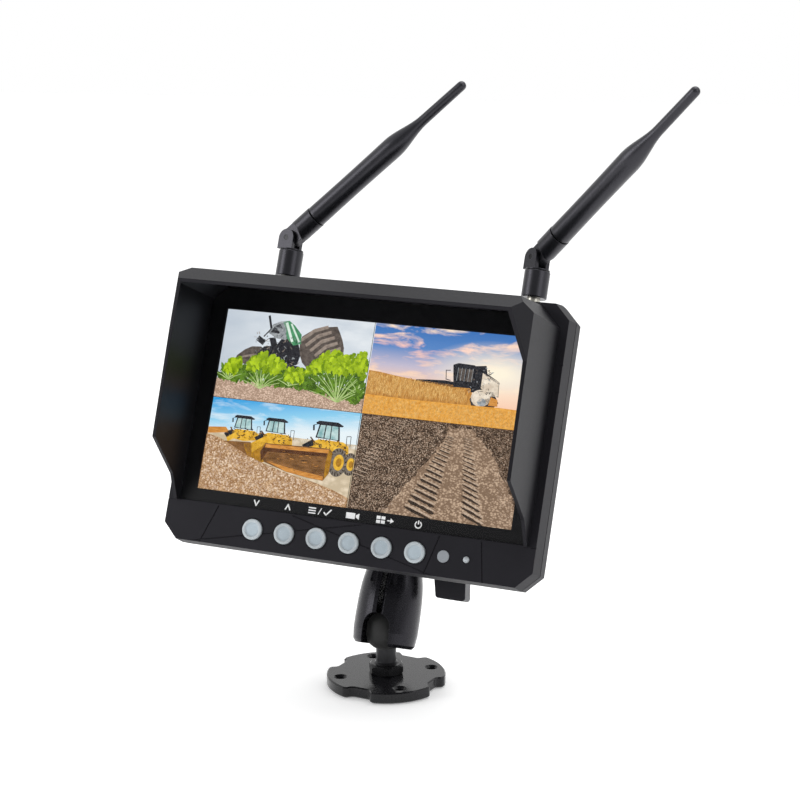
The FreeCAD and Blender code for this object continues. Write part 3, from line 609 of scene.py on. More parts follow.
# ------------------------------------------------------------------ picture finishes
class Drawn:
    """Makes the lit finishes of the picture; each returns one material."""

    @staticmethod
    def shade(name: str, dark: Colour, light: Colour, scale: float = 3.0,
              stretch: Sequence[float] = (1, 1, 1), turn: float = 0.0, toned: bool = False) -> bpy.types.Material:
        """Return a mottled tone between two colours, optionally varied from piece to piece."""
        r = Recipe(name)
        grain = r.noise(r.drawn(stretch, turn), scale, 5.0, 0.65)
        share = r.levels(grain, 0.28, 0.72)
        if toned:
            share = r.maths("ADD", r.maths("MULTIPLY", share, 0.45), r.maths("MULTIPLY", r.attribute("tone"), 0.6))
        r.glow(r.blend(share, dark, light))
        return r.material

    @staticmethod
    def pale_sky() -> bpy.types.Material:
        """Return a bright overcast sky."""
        r = Recipe("overcast sky")
        drift = r.noise(r.drawn((0.35, 0.8, 1)), 1.4, 4.0, 0.5)
        corner = r.node("ShaderNodeSeparateXYZ", Vector=r.drawn())
        left = r.levels(corner.outputs[0], -7.9, -4.8)
        clouds = r.ramp(drift, [(0.3, (0.62, 0.68, 0.75)), (0.7, (0.86, 0.89, 0.92))])
        r.glow(r.blend(left, r.blend(0.6, clouds, (0.46, 0.53, 0.62)), clouds))
        return r.material

    @staticmethod
    def sunset() -> bpy.types.Material:
        """Return a blue evening sky with lit clouds and a bright horizon."""
        r = Recipe("evening sky")
        parts = r.node("ShaderNodeSeparateXYZ", Vector=r.drawn())
        height = r.levels(parts.outputs[1], 1.6, 4.4)
        base = r.ramp(height, [(0.0, (0.95, 0.62, 0.45)), (0.3, (0.55, 0.5, 0.62)), (0.62, (0.1, 0.24, 0.55)),
                               (1.0, (0.05, 0.17, 0.48))])
        bands = r.noise(r.drawn((0.42, 1.5, 1), 24), 1.25, 6.0, 0.6, 0.35)
        cover = r.levels(bands, 0.5, 0.64)
        lit = r.ramp(height, [(0.0, (1.0, 0.75, 0.5)), (0.6, (0.95, 0.56, 0.5)), (1.0, (0.95, 0.78, 0.6))])
        sky = r.blend(cover, base, lit)
        # glow low on the right where the sun is going down
        dx = r.maths("MULTIPLY", r.maths("SUBTRACT", parts.outputs[0], 6.0), 0.42)
        dy = r.maths("SUBTRACT", parts.outputs[1], 2.5)
        far = r.maths("SQRT", r.maths("ADD", r.maths("MULTIPLY", dx, dx), r.maths("MULTIPLY", dy, dy)))
        r.glow(r.blend(r.levels(far, 0.15, 1.5, 1.0, 0.0), sky, (1.0, 0.9, 0.72)), 1.05)
        return r.material

    @staticmethod
    def blue_sky() -> bpy.types.Material:
        """Return a deep blue sky with wisps."""
        r = Recipe("noon sky")
        parts = r.node("ShaderNodeSeparateXYZ", Vector=r.drawn())
        across = r.maths("MULTIPLY", r.levels(parts.outputs[0], -7.0, -0.5), 0.9)
        height = r.levels(r.maths("SUBTRACT", parts.outputs[1], across), -1.75, 0.0)
        base = r.ramp(height, [(0.0, (0.84, 0.93, 0.97)), (0.45, (0.3, 0.66, 0.9)), (1.0, (0.03, 0.36, 0.78))])
        wisps = r.levels(r.noise(r.drawn((0.4, 1.9, 1), 9), 1.3, 6.0, 0.6, 0.5), 0.5, 0.72, 0.0, 0.8)
        r.glow(r.blend(wisps, base, (0.86, 0.93, 0.97)))
        return r.material

    @staticmethod
    def soil(name: str, dark: Colour, mid: Colour, light: Colour, scale: float) -> bpy.types.Material:
        """Return lumpy ground with dark gaps between the clods."""
        r = Recipe(name)
        coords = r.drawn((1, 1.35, 1))
        lumps = r.cells(coords, scale)
        drift = r.noise(coords, scale * 0.16, 4.0, 0.6)
        grain = r.noise(coords, scale * 1.6, 4.0, 0.7)
        tone = r.maths("ADD", r.maths("MULTIPLY", r.maths("SUBTRACT", 0.72, lumps), 0.75),
                       r.maths("MULTIPLY", r.maths("SUBTRACT", grain, 0.5), 0.7))
        tone = r.maths("ADD", tone, r.maths("MULTIPLY", r.maths("SUBTRACT", drift, 0.5), 0.7))
        r.glow(r.ramp(tone, [(0.08, dark), (0.42, mid), (0.8, light)]))
        return r.material


# ------------------------------------------------------------------ the lit picture
class Tone(Enum):
    """Finishes used on the picture."""

    OVERCAST = "overcast"
    SUNSET = "sunset"
    NOON = "noon"
    BED = "bed"
    CLOD = "clod"
    SAND = "sand"
    HEAP = "heap"
    PEBBLE = "pebble"
    WHEAT = "wheat"
    STUBBLE = "stubble"
    EAR = "ear"
    LEAF = "leaf"
    LEAF_DARK = "leaf_dark"
    STALK = "stalk"
    MUD = "mud"
    MUD_DARK = "mud_dark"
    IRON = "iron"
    IRON_PALE = "iron_pale"
    BONNET = "bonnet"
    BONNET_PALE = "bonnet_pale"
    YELLOW = "yellow"
    YELLOW_DARK = "yellow_dark"
    RUST = "rust"
    RUST_DARK = "rust_dark"
    RUST_PALE = "rust_pale"
    TYRE = "tyre"
    CAB_GLASS = "cab_glass"
    CREAM = "cream"
    SHADOW = "shadow"
    RIDGE = "ridge"
    RUST_SOFT = "rust_soft"
    TRACK = "track"
    LINE = "line"


def picture_finishes() -> Dict[Tone, bpy.types.Material]:
    """Return every finish of the picture."""
    d = Drawn
    return {
        Tone.OVERCAST: d.pale_sky(),
        Tone.SUNSET: d.sunset(),
        Tone.NOON: d.blue_sky(),
        Tone.BED: d.soil("garden soil", (0.42, 0.28, 0.2), (0.84, 0.62, 0.48), (1.0, 0.9, 0.76), 13.0),
        Tone.CLOD: d.soil("ploughed soil", (0.05, 0.031, 0.02), (0.31, 0.205, 0.14), (0.66, 0.49, 0.37), 15.0),
        Tone.SAND: d.soil("yard sand", (0.62, 0.5, 0.34), (0.84, 0.7, 0.52), (0.95, 0.84, 0.68), 2.5),
        Tone.HEAP: d.soil("gravel heap", (0.34, 0.18, 0.08), (0.78, 0.52, 0.31), (1.0, 0.84, 0.62), 16.0),
        Tone.PEBBLE: d.shade("loose stones", (0.3, 0.14, 0.07), (1.0, 0.8, 0.6), 5.0, toned=True),
        Tone.WHEAT: d.shade("standing wheat", (0.3, 0.11, 0.02), (0.8, 0.4, 0.1), 3.2, (3.2, 0.8, 1)),
        Tone.STUBBLE: d.shade("cut wheat", (0.62, 0.22, 0.015), (1.0, 0.54, 0.12), 5.0, (1.2, 1.6, 1)),
        Tone.EAR: d.shade("wheat ears", (0.36, 0.12, 0.01), (1.0, 0.66, 0.24), 5.0, toned=True),
        Tone.LEAF: d.shade("beet leaf", (0.03, 0.12, 0.0), (0.6, 0.8, 0.03), 2.6, toned=True),
        Tone.LEAF_DARK: d.shade("shaded leaf", (0.01, 0.03, 0.004), (0.17, 0.33, 0.03), 2.6, toned=True),
        Tone.STALK: d.shade("leaf stalk", (0.2, 0.38, 0.06), (0.72, 0.84, 0.4), 3.0),
        Tone.MUD: d.shade("muddy rubber", (0.15, 0.115, 0.095), (0.42, 0.345, 0.29), 5.0),
        Tone.MUD_DARK: d.shade("wet rubber", (0.045, 0.036, 0.032), (0.18, 0.145, 0.125), 5.0),
        Tone.IRON: d.shade("greasy iron", (0.002, 0.002, 0.003), (0.05, 0.05, 0.06), 8.0),
        Tone.IRON_PALE: d.shade("worn iron", (0.1, 0.11, 0.12), (0.55, 0.58, 0.6), 7.0),
        Tone.BONNET: d.shade("green bonnet", (0.02, 0.12, 0.05), (0.12, 0.42, 0.2), 2.0),
        Tone.BONNET_PALE: d.shade("bonnet stripe", (0.5, 0.7, 0.55), (0.84, 0.93, 0.86), 2.0),
        Tone.YELLOW: d.shade("yellow paint", (0.62, 0.3, 0.01), (1.0, 0.62, 0.08), 4.0),
        Tone.YELLOW_DARK: d.shade("shaded yellow paint", (0.22, 0.1, 0.01), (0.62, 0.3, 0.03), 4.0),
        Tone.RUST: d.shade("rusty steel", (0.1, 0.045, 0.015), (0.36, 0.17, 0.06), 2.6, (0.7, 1.6, 1)),
        Tone.RUST_DARK: d.shade("dark rust", (0.05, 0.02, 0.01), (0.17, 0.07, 0.03), 4.0),
        Tone.RUST_PALE: d.shade("scraped steel", (0.45, 0.15, 0.02), (0.85, 0.4, 0.1), 5.0, (0.6, 2.0, 1)),
        Tone.TYRE: d.shade("dry tyre", (0.06, 0.05, 0.045), (0.32, 0.27, 0.22), 7.0),
        Tone.CAB_GLASS: d.shade("cab glass", (0.12, 0.34, 0.36), (0.72, 0.88, 0.86), 2.4),
        Tone.CREAM: d.shade("cream paint", (0.55, 0.42, 0.3), (1.0, 0.9, 0.76), 3.0),
        Tone.SHADOW: d.shade("track shadow", (0.012, 0.008, 0.006), (0.08, 0.055, 0.04), 9.0),
        Tone.TRACK: d.soil("rolled soil", (0.24, 0.155, 0.1), (0.6, 0.43, 0.3), (0.86, 0.67, 0.5), 9.0),
        Tone.RUST_SOFT: d.shade("dried mud", (0.3, 0.22, 0.18), (0.52, 0.42, 0.35), 6.0),
        Tone.RIDGE: d.shade("track ridge", (0.3, 0.21, 0.15), (0.74, 0.57, 0.43), 11.0),
        Tone.LINE: d.shade("picture divider", (0.0, 0.0, 0.0), (0.01, 0.01, 0.012), 1.0),
    }


@dataclass
class Sheet:
    """One drawn view: thin closed tiles stacked in front of the display glass."""

    name: str
    finishes: Dict[Tone, bpy.types.Material]
    window: Tuple[float, float, float, float]
    tile: float = 0.02
    step: float = 0.028
    depth: float = 0.06
    bm: bmesh.types.BMesh = field(default_factory=bmesh.new)
    order: List[Tone] = field(default_factory=list)
    tones: List[float] = field(default_factory=list)

    def clip(self, outline: Sequence[Point2]) -> List[Point2]:
        """Return an outline cut to the view's window.

        Args:
            outline: Corners in millimetres.

        Returns:
            The corners that remain, which may be none.
        """
        left, right, low, high = self.window
        kept = list(outline)
        for axis, limit, sign in ((0, left, 1), (0, right, -1), (1, low, 1), (1, high, -1)):
            result: List[Point2] = []
            for a, b in zip(kept, kept[1:] + kept[:1]):
                ina = (a[axis] - limit) * sign >= 0
                inb = (b[axis] - limit) * sign >= 0
                if ina:
                    result.append(a)
                if ina != inb:
                    t = (limit - a[axis]) / (b[axis] - a[axis])
                    result.append((a[0] + (b[0] - a[0]) * t, a[1] + (b[1] - a[1]) * t))
            kept = result
            if not kept:
                return []
        return kept

    def layer(self) -> None:
        """Start a new layer in front of everything drawn so far."""
        self.depth += self.step

    def add(self, outline: Sequence[Point2], tone: Tone, value: float = 0.5) -> None:
        """Draw one tile on the present layer."""
        kept = self.clip(outline)
        if len(kept) < 3:
            return
        if tone not in self.order:
            self.order.append(tone)
        before = len(self.bm.verts)
        prism_into(self.bm, kept, self.depth, self.depth + self.tile, self.order.index(tone))
        self.tones.extend([value] * (len(self.bm.verts) - before))

    def build(self, place: Matrix) -> bpy.types.Object:
        """Finish the view as one piece at the placement of the drawing."""
        mesh = mesh_from(self.bm, self.name)
        lay_out(mesh)
        tone = mesh.attributes.new("tone", "FLOAT", "POINT")
        tone.data.foreach_set("value", self.tones)
        for kind in self.order:
            mesh.materials.append(self.finishes[kind])
        return finish_mesh(self.name, mesh, place)


def leaf_outline(base: Point2, length: float, angle: float, width: float, rng: random.Random) -> List[Point2]:
    """Return the wavy outline of one broad leaf.

    Args:
        base: Foot of the blade in millimetres.
        length: Length of the blade.
        angle: Direction in degrees from the right.
        width: Full width.
        rng: Seeded source of variation.

    Returns:
        The outline.
    """
    d = Vector((math.cos(math.radians(angle)), math.sin(math.radians(angle))))
    n = Vector((-d.y, d.x))
    left, right = [], []
    for k in range(9):
        t = k / 8
        swell = math.sin(math.pi * min(1.0, 0.08 + t * 0.92)) ** 0.7
        wave = 1 + (0.22 if k % 2 else -0.12) * rng.uniform(0.6, 1.2)
        along = Vector(base) + d * length * t
        left.append(along + n * (width / 2 * swell * wave))
        right.append(along - n * (width / 2 * swell * (2 - wave) * 0.92))
    return [(p.x, p.y) for p in left + list(reversed(right))]


class Scatter:
    """Geometry Nodes tree that strews small flat chips over a region of the picture."""

    def __init__(self, name: str, chip: Callable[[], bpy.types.Mesh]) -> None:
        """Build the tree.

        Args:
            name: Name of the tree.
            chip: Makes the small mesh that is repeated.
        """
        stone = bpy.data.objects.new(name + "_chip", chip())
        tree = bpy.data.node_groups.new(name, "GeometryNodeTree")
        face = tree.interface
        face.new_socket("Region", in_out="INPUT", socket_type="NodeSocketGeometry")
        kinds = {**dict.fromkeys(("Density", "Smallest", "Largest", "Swing", "Pile"), "NodeSocketFloat"),
                 "Finish": "NodeSocketMaterial"}
        self.sockets = {label: face.new_socket(label, in_out="INPUT", socket_type=kind).identifier
                        for label, kind in kinds.items()}
        face.new_socket("Chips", in_out="OUTPUT", socket_type="NodeSocketGeometry")

        def add(kind: str, **values: object) -> bpy.types.Node:
            """Add a node to this tree."""
            return add_node(tree, kind, **values)

        def chance(seed: int, low: Optional[bpy.types.NodeSocket] = None,
                   high: Optional[bpy.types.NodeSocket] = None) -> bpy.types.NodeSocket:
            """Return a random number for each chip, from zero to one where no limit is given."""
            made = add("FunctionNodeRandomValue", data_type="FLOAT", Seed=seed)
            for index, limit in ((2, low), (3, high)):
                if limit is not None:
                    tree.links.new(limit, made.inputs[index])
            return made.outputs[1]

        given, out = add("NodeGroupInput").outputs, add("NodeGroupOutput")
        spread = add("GeometryNodeDistributePointsOnFaces", Mesh=given["Region"], Density=given["Density"], Seed=7)
        info = add("GeometryNodeObjectInfo", Object=stone)
        back = add("ShaderNodeMath", operation="MULTIPLY")
        back.inputs[1].default_value = -1.0
        tree.links.new(given["Swing"], back.inputs[0])
        turn = add("ShaderNodeCombineXYZ", Z=chance(5, back.outputs[0], given["Swing"]))
        put = add("GeometryNodeInstanceOnPoints", Points=spread.outputs["Points"], Instance=info.outputs["Geometry"],
                  Scale=chance(3, given["Smallest"], given["Largest"]), Rotation=turn.outputs[0])
        rise = add("ShaderNodeCombineXYZ", Z=chance(13, high=given["Pile"]))
        lift = add("GeometryNodeTranslateInstances", Local_Space=False, Instances=put.outputs["Instances"],
                   Translation=rise.outputs[0])
        store = add("GeometryNodeStoreNamedAttribute", data_type="FLOAT", domain="INSTANCE", Name="tone",
                    Geometry=lift.outputs["Instances"], Value=chance(11))
        real = add("GeometryNodeRealizeInstances", Geometry=store.outputs[0])
        paint = add("GeometryNodeSetMaterial", Geometry=real.outputs[0], Material=given["Finish"])
        tree.links.new(paint.outputs[0], out.inputs[0])
        self.tree = tree

    def strew(self, name: str, outline: Sequence[Point2], height: float, density: float, smallest: float,
              largest: float, swing: float, finish: bpy.types.Material, place: Matrix,
              pile: float = 0.2) -> bpy.types.Object:
        """Strew chips over one outline and return the piece.

        Args:
            name: Piece name.
            outline: Region in millimetres.
            height: Height out of the screen in millimetres.
            density: Chips per square millimetre.
            smallest: Smallest scale.
            largest: Largest scale.
            swing: Largest turn either way in radians.
            finish: Material of the chips.
            place: Placement of the drawing.
            pile: Greatest extra height of a chip in millimetres.

        Returns:
            The piece.
        """
        bm = bmesh.new()
        bm.faces.new([bm.verts.new((x, y, height)) for x, y in outline])
        bmesh.ops.triangulate(bm, faces=bm.faces)
        mesh = mesh_from(bm, name + "_region")
        holder = bpy.data.objects.new(name + "_region", mesh)
        bpy.context.scene.collection.objects.link(holder)
        modifier = holder.modifiers.new("strew", "NODES")
        modifier.node_group = self.tree
        numbers = {"Density": density, "Smallest": smallest, "Largest": largest, "Swing": swing, "Pile": pile}
        for label, value in numbers.items():
            modifier[self.sockets[label]] = float(value)
        modifier[self.sockets["Finish"]] = finish
        graph = bpy.context.evaluated_depsgraph_get()
        result = bpy.data.meshes.new_from_object(holder.evaluated_get(graph))
        bpy.data.objects.remove(holder)
        lay_out(result)
        if not result.materials:
            result.materials.append(finish)
        return finish_mesh(name, result, place)


def chip_mesh(outline: Sequence[Point2], name: str) -> bpy.types.Mesh:
    """Return a thin closed chip with that outline."""
    bm = bmesh.new()
    prism_into(bm, outline, 0.0, 0.02, 0)
    mesh = mesh_from(bm, name)
    return mesh


@dataclass
class LitPicture:
    """Four camera views on the display."""

    monitor: MonitorFrame
    split_u: float = -1.4
    split_v: float = 0.6
    inset: float = 0.7

    def dress(self) -> List[bpy.types.Object]:
        """Build the four views and return their pieces."""
        finishes = picture_finishes()
        place = self.monitor.screen()
        half_w, half_h = self.monitor.picture_w / 2, self.monitor.picture_h / 2
        u, v = self.split_u, self.split_v
        pieces = [
            self.beet_field(Sheet("view_beet_field", finishes, (-half_w, u, v, half_h))).build(place),
            self.harvest(Sheet("view_harvest", finishes, (u, half_w, v, half_h))).build(place),
            self.loaders(Sheet("view_loaders", finishes, (-half_w, u, -half_h, v))).build(place),
            self.tracks(Sheet("view_tracks", finishes, (u, half_w, -half_h, v))).build(place),
            self.dividers(Sheet("view_dividers", finishes, (-half_w, half_w, -half_h, half_h))).build(place),
        ]
        stones = Scatter("strew_stones", lambda: chip_mesh([(-0.5, -0.2), (-0.1, -0.42), (0.45, -0.25),
                                                            (0.5, 0.15), (0.05, 0.4), (-0.42, 0.2)], "stone"))
        straws = Scatter("strew_straws", lambda: chip_mesh([(-0.05, -1.0), (0.06, -1.0), (0.08, 0.1), (0.2, 0.45),
                                                            (0.05, 1.0), (-0.15, 0.55), (-0.06, 0.1)], "straw"))
        leaves = Scatter("strew_leaves", lambda: chip_mesh(
            [(-0.08, -1.1), (0.08, -1.1), (0.22, -0.55), (0.5, -0.42), (0.42, -0.1), (0.62, 0.12), (0.42, 0.4),
             (0.46, 0.72), (0.12, 1.05), (-0.2, 0.92), (-0.5, 0.62), (-0.4, 0.3), (-0.62, 0.05), (-0.38, -0.2),
             (-0.45, -0.45), (-0.2, -0.6)], "leaf"))
        inset = self.inset
        heap = [(-half_w + inset, -17.4), (-69, -19), (-59, -24.2), (-40, -29.5), (-25, -33.2), (-12, -36),
                (u - inset, -39.4), (u - inset, -half_h + inset), (-half_w + inset, -half_h + inset)]
        near = [(u + inset, 8.6), (half_w - inset, 8.6), (half_w - inset, v + inset), (u + inset, v + inset)]
        tall = [(u + inset, 19.8), (12, 19.2), (26, 17.8), (46, 15.8), (48, 11.0), (u + inset, 10.6)]
        soil = [(u + inset, v - inset), (40, v - inset), (38, -10), (26, -26), (18, -half_h + inset),
                (u + inset, -half_h + inset)]
        verge = [(41, v - inset), (half_w - inset, v - inset), (half_w - inset, -half_h + inset),
                 (72, -half_h + inset), (62, -12),
                 (50, -3)]
        low = [(-75, 9.0), (-75, 16), (-66, 16.4), (-58, 18), (-46, 17.4), (-36, 16.2), (-28, 17.6), (-20, 22),
               (-8, 25), (-3.4, 25), (-3.4, 4.5), (-12, 5.6), (-30, 8.8), (-45, 8.9), (-60, 9.0)]
        crowns = [
            [(-74, 13.4), (-71, 19.2), (-66, 19.6), (-64.6, 15), (-69, 12.2)],
            [(-62, 15), (-61, 20.4), (-55, 23.6), (-48, 22.4), (-43, 18.4), (-45, 14.4), (-54, 15.6)],
            [(-42, 12), (-41.6, 16.6), (-36, 18), (-31.4, 15.2), (-34, 11)],
            [(-32, 16), (-30, 21), (-24, 26), (-18, 28.4), (-14, 25), (-9, 26.6), (-4, 28.4), (-4, 20), (-12, 17.6),
             (-22, 18)],
        ]
        pieces += [
            stones.strew("view_gravel", heap, 0.5, 3.0, 0.4, 1.15, 3.1, finishes[Tone.PEBBLE], place),
            stones.strew("view_clods", soil, 0.3, 1.7, 0.16, 0.6, 3.1, finishes[Tone.RIDGE], place),
            stones.strew("view_hollows", soil, 0.28, 1.5, 0.2, 0.62, 3.1, finishes[Tone.SHADOW], place),
            stones.strew("view_crumbs", verge, 0.3, 0.9, 0.14, 0.5, 3.1, finishes[Tone.RIDGE], place),
            stones.strew("view_pits", verge, 0.28, 0.5, 0.14, 0.5, 3.1, finishes[Tone.SHADOW], place),
            straws.strew("view_tall_wheat", tall, 0.5, 3.4, 0.5, 1.15, 0.5, finishes[Tone.EAR], place),
            straws.strew("view_near_wheat", near, 0.55, 4.0, 0.3, 0.7, 0.9, finishes[Tone.EAR], place),
            leaves.strew("view_low_leaves", low, 0.5, 1.6, 0.7, 1.6, 1.5, finishes[Tone.LEAF_DARK], place, 0.12),
            self.stalks(Sheet("view_stalks", finishes, (-half_w, u, v, half_h))).build(place),
        ]
        for index, crown in enumerate(crowns):
            pieces.append(leaves.strew(f"view_crown_{index + 1}", crown, 0.74, 1.1, 1.1, 2.3, 1.1,
                                       finishes[Tone.LEAF], place, 0.3))
        for piece in pieces:
            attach(piece, Bodies.MONITOR.value)
            log.info("picture piece %s: %d faces", piece.name, len(piece.data.polygons))
        return pieces

    def dividers(self, s: Sheet) -> Sheet:
        """Draw the thin dark cross between the views."""
        s.depth = 1.2
        s.add(bar((self.split_u, -60), (self.split_u, 60), 0.22), Tone.LINE)
        s.add(bar((-90, self.split_v), (90, self.split_v), 0.22), Tone.LINE)
        return s

    def beet_field(self, s: Sheet) -> Sheet:
        """Draw a muddy tractor standing behind leafy crops."""
        s.add([(-80, 0), (0, 0), (0, 45), (-80, 45)], Tone.OVERCAST)
        s.layer()
        # far front wheel and axle
        s.add([(-70, 18), (-68.5, 21.5), (-65, 24.5), (-61.5, 26.3), (-57, 26.6), (-54, 24.6), (-52, 21), (-51, 17)],
              Tone.MUD_DARK)
        s.add([(-62, 15), (-57.5, 20.5), (-36, 19), (-34, 15)], Tone.IRON)
        s.layer()
        for k in range(6):
            a = (-69.6 + 2.6 * k, 19.4 + 1.1 * k - 0.12 * k * k)
            s.add(bar(a, (a[0] + 4.6, a[1] + 1.7), 1.0, 0.6), Tone.MUD)
        # rear wheel with its mud-filled lugs
        tyre = [(-37.6, 29.8), (-37, 33.2), (-33.5, 35.8), (-29, 37.6), (-24.5, 38.8), (-20.2, 39.4), (-18.4, 36.5),
                (-16.6, 33.2), (-15.3, 29.6), (-15.2, 26), (-16.6, 21.5), (-19.5, 18.2), (-25, 16.4), (-31, 17.6),
                (-35, 21), (-37.2, 25.4)]
        s.add(tyre, Tone.MUD_DARK)
        s.layer()
        for k in range(7):
            t = k / 6
            foot = (-37.2 + 16.0 * t, 31.4 - 13.6 * t)
            head = (foot[0] + 12.6 - 4.5 * t, foot[1] + 7.4 - 0.5 * t)
            knee = ((foot[0] + head[0]) / 2 - 0.4, (foot[1] + head[1]) / 2 + 1.3)
            s.add(bar(foot, knee, 1.5, 1.75), Tone.MUD)
            s.add(bar(knee, head, 1.75, 1.5), Tone.MUD)
            s.add(bar((foot[0] + 0.2, foot[1] + 0.6), (knee[0], knee[1] + 0.6), 0.3), Tone.RUST_SOFT)
            s.add(bar((knee[0], knee[1] + 0.6), (head[0] - 0.2, head[1] + 0.5), 0.3), Tone.RUST_SOFT)
        # engine block, frame and pipes
        s.add([(-58, 18.6), (-58.5, 23), (-55.5, 26.8), (-52, 27.4), (-53.5, 31), (-50.5, 31.6), (-49, 28.4),
               (-47, 31.4), (-43, 32), (-38, 29), (-36.4, 24), (-37.4, 19.6), (-44, 18.2), (-51, 18)], Tone.IRON)
        s.layer()
        s.add([(-54.6, 33.6), (-52.6, 37.6), (-48.6, 39.4), (-45.4, 39.5), (-43.6, 33), (-45, 30.8), (-50, 31.2)],
              Tone.IRON_PALE)
        s.add([(-53.4, 33.8), (-51.6, 36.8), (-49, 38.2), (-47.4, 36), (-49, 33.4)], Tone.IRON)
        s.add([(-47.8, 39.4), (-44.6, 40), (-41.5, 38), (-37.4, 34), (-37, 29.6), (-40.8, 28.6), (-44.6, 31.6)],
              Tone.BONNET)
        s.layer()
        s.add(bar((-45.8, 39), (-41.6, 30.2), 1.3), Tone.BONNET_PALE)
        s.add(bar((-43.4, 38.7), (-38.2, 30.6), 0.9), Tone.BONNET_PALE)
        s.add(bar((-55.2, 41.6), (-53.2, 35.6), 1.1), Tone.IRON)
        s.add(bar((-53.2, 35.4), (-56.4, 31.4), 0.6), Tone.IRON)
        s.add(bar((-59.4, 30.6), (-55.6, 28.4), 2.6), Tone.IRON)
        rng = random.Random(4)
        for _ in range(150):
            p = (rng.uniform(-60, -37.5), rng.uniform(18.5, 32.5))
            q = (p[0] + rng.uniform(-1.5, 1.5), p[1] + rng.uniform(-1.5, 1.5))
            kind = rng.choice((Tone.IRON_PALE, Tone.MUD, Tone.IRON, Tone.IRON))
            s.add(bar(p, q, rng.uniform(0.12, 0.36)), kind)
        s.layer()
        # ground and low greenery
        s.add([(-80, 9.8), (-62, 9.6), (-48, 10.4), (-34, 11.0), (-26, 9.6), (0, 9.4), (0, -1), (-80, -1)], Tone.BED)
        for k in range(60):
            u = -76.6 + 75 * rng.random()
            v = rng.uniform(8.6, 15.0)
            s.add(leaf_outline((u, v), rng.uniform(3, 6.0), rng.uniform(30, 150), rng.uniform(1.4, 2.8), rng),
                  Tone.LEAF_DARK, rng.random())
        return s

    def stalks(self, s: Sheet) -> Sheet:
        """Draw the pale stalks that fan out of the ground in front of the leaves."""
        rng = random.Random(21)
        s.depth = 0.68
        plants = (((-71, 9.4), 7, 7.0), ((-54.2, 6.8), 12, 11.5), ((-39.5, 9.4), 6, 6.0), ((-14.6, 4.4), 16, 16.5),
                  ((-4.6, 9.0), 5, 9.0))
        for (u, v), count, reach in plants:
            for k in range(count):
                angle = math.radians(158 - 136 * k / (count - 1) + rng.uniform(-6, 6))
                length = reach * rng.uniform(0.75, 1.1)
                knee = (u + 0.5 * length * math.cos(angle), v + 0.56 * length * math.sin(angle))
                top = (knee[0] + 0.55 * length * math.cos(angle), knee[1] + 0.42 * length * math.sin(angle))
                s.add(bar((u + rng.uniform(-0.8, 0.8), v), knee, 0.42, 0.36), Tone.STALK)
                s.add(bar(knee, top, 0.36, 0.2), Tone.STALK)
                s.depth += 0.003
        # leaves that run off the right side of the view
        for k in range(22):
            at = (rng.uniform(-6, -1), 7 + 20 * k / 21)
            tone = Tone.LEAF if k > 8 else Tone.LEAF_DARK
            s.add(leaf_outline(at, rng.uniform(2.4, 4.4), rng.uniform(20, 150), rng.uniform(1.6, 2.8), rng), tone,
                  rng.random())
            s.depth += 0.003
        return s

    def harvest(self, s: Sheet) -> Sheet:
        """Draw a combine harvester in a wheat field at sunset."""
        s.add([(-3, 0), (80, 0), (80, 45), (-3, 45)], Tone.SUNSET)
        s.layer()
        # far wheat, then the header, cab and body of the machine
        s.add([(-3, 21), (4, 20.6), (12, 19.6), (22, 18.6), (36, 18.3), (49, 17.6), (50, 9), (-3, 9)], Tone.WHEAT)
        s.add([(22, 18.9), (28, 19.4), (36, 19.8), (41, 19.4), (41, 17.0), (22, 18.2)], Tone.IRON)
        s.layer()
        s.add([(38.6, 27.2), (41, 28.2), (48.8, 27.9), (50.2, 26.6), (49.8, 17.4), (40.2, 17.2), (39.4, 22)],
              Tone.IRON)
        s.add([(47.6, 27.4), (54.2, 28.2), (55.2, 24.6), (61.2, 21.4), (61.8, 14.6), (55, 16), (48.6, 15.6)],
              Tone.IRON)
        s.layer()
        s.add([(41.6, 25.8), (44.6, 25.9), (44.4, 20.4), (42.2, 20.6)], Tone.MUD_DARK)
        s.add([(45.4, 25.9), (48.6, 25.8), (48.4, 20.2), (45.2, 20.3)], Tone.MUD_DARK)
        s.add([(53, 24.8), (61, 21.4), (61.6, 15), (57, 14.4), (53, 18)], Tone.CREAM)
        s.add(bar((53.4, 24.4), (61.4, 20.6), 0.5), Tone.IRON)
        s.add(bar((35.6, 24.4), (37.8, 24.6), 0.35), Tone.IRON)
        s.add(bar((35.6, 24.6), (36.2, 20.4), 0.35), Tone.IRON)
        s.add(bar((36, 20.4), (38.4, 20.0), 0.35), Tone.IRON)
        s.add(oval(53.6, 13.4, 4.6, 3.8), Tone.CREAM)
        s.add([(48.6, 12.6), (52, 16.6), (59, 16.8), (62.2, 12), (60, 9.4), (50, 9.2)], Tone.IRON)
        s.layer()
        s.add([(49.2, 13.2), (52.6, 16.2), (56.4, 17), (58, 14.2), (54, 12), (50, 11.2)], Tone.CREAM)
        s.add([(58.4, 14.4), (61.6, 13.4), (62, 10.4), (57.6, 10.4)], Tone.RUST_PALE)
        s.add(oval(54.4, 11.6, 2.0, 1.8), Tone.IRON_PALE)
        for k in range(5):
            s.add(bar((41.3 + 1.75 * k, 26.2), (41.2 + 1.75 * k, 20.2), 0.22), Tone.IRON_PALE)
        rng = random.Random(9)
        for _ in range(70):
            p = (rng.uniform(47.5, 57), rng.uniform(15, 27.5))
            s.add(bar(p, (p[0] + rng.uniform(-1.4, 1.4), p[1] + rng.uniform(-0.8, 0.8)), rng.uniform(0.15, 0.45)),
                  rng.choice((Tone.IRON, Tone.IRON, Tone.IRON_PALE, Tone.MUD_DARK)))
        s.layer()
        s.add([(-3, 9.8), (20, 9.4), (45, 9.6), (62, 10), (80, 9.6), (80, -1), (-3, -1)], Tone.STUBBLE)
        return s

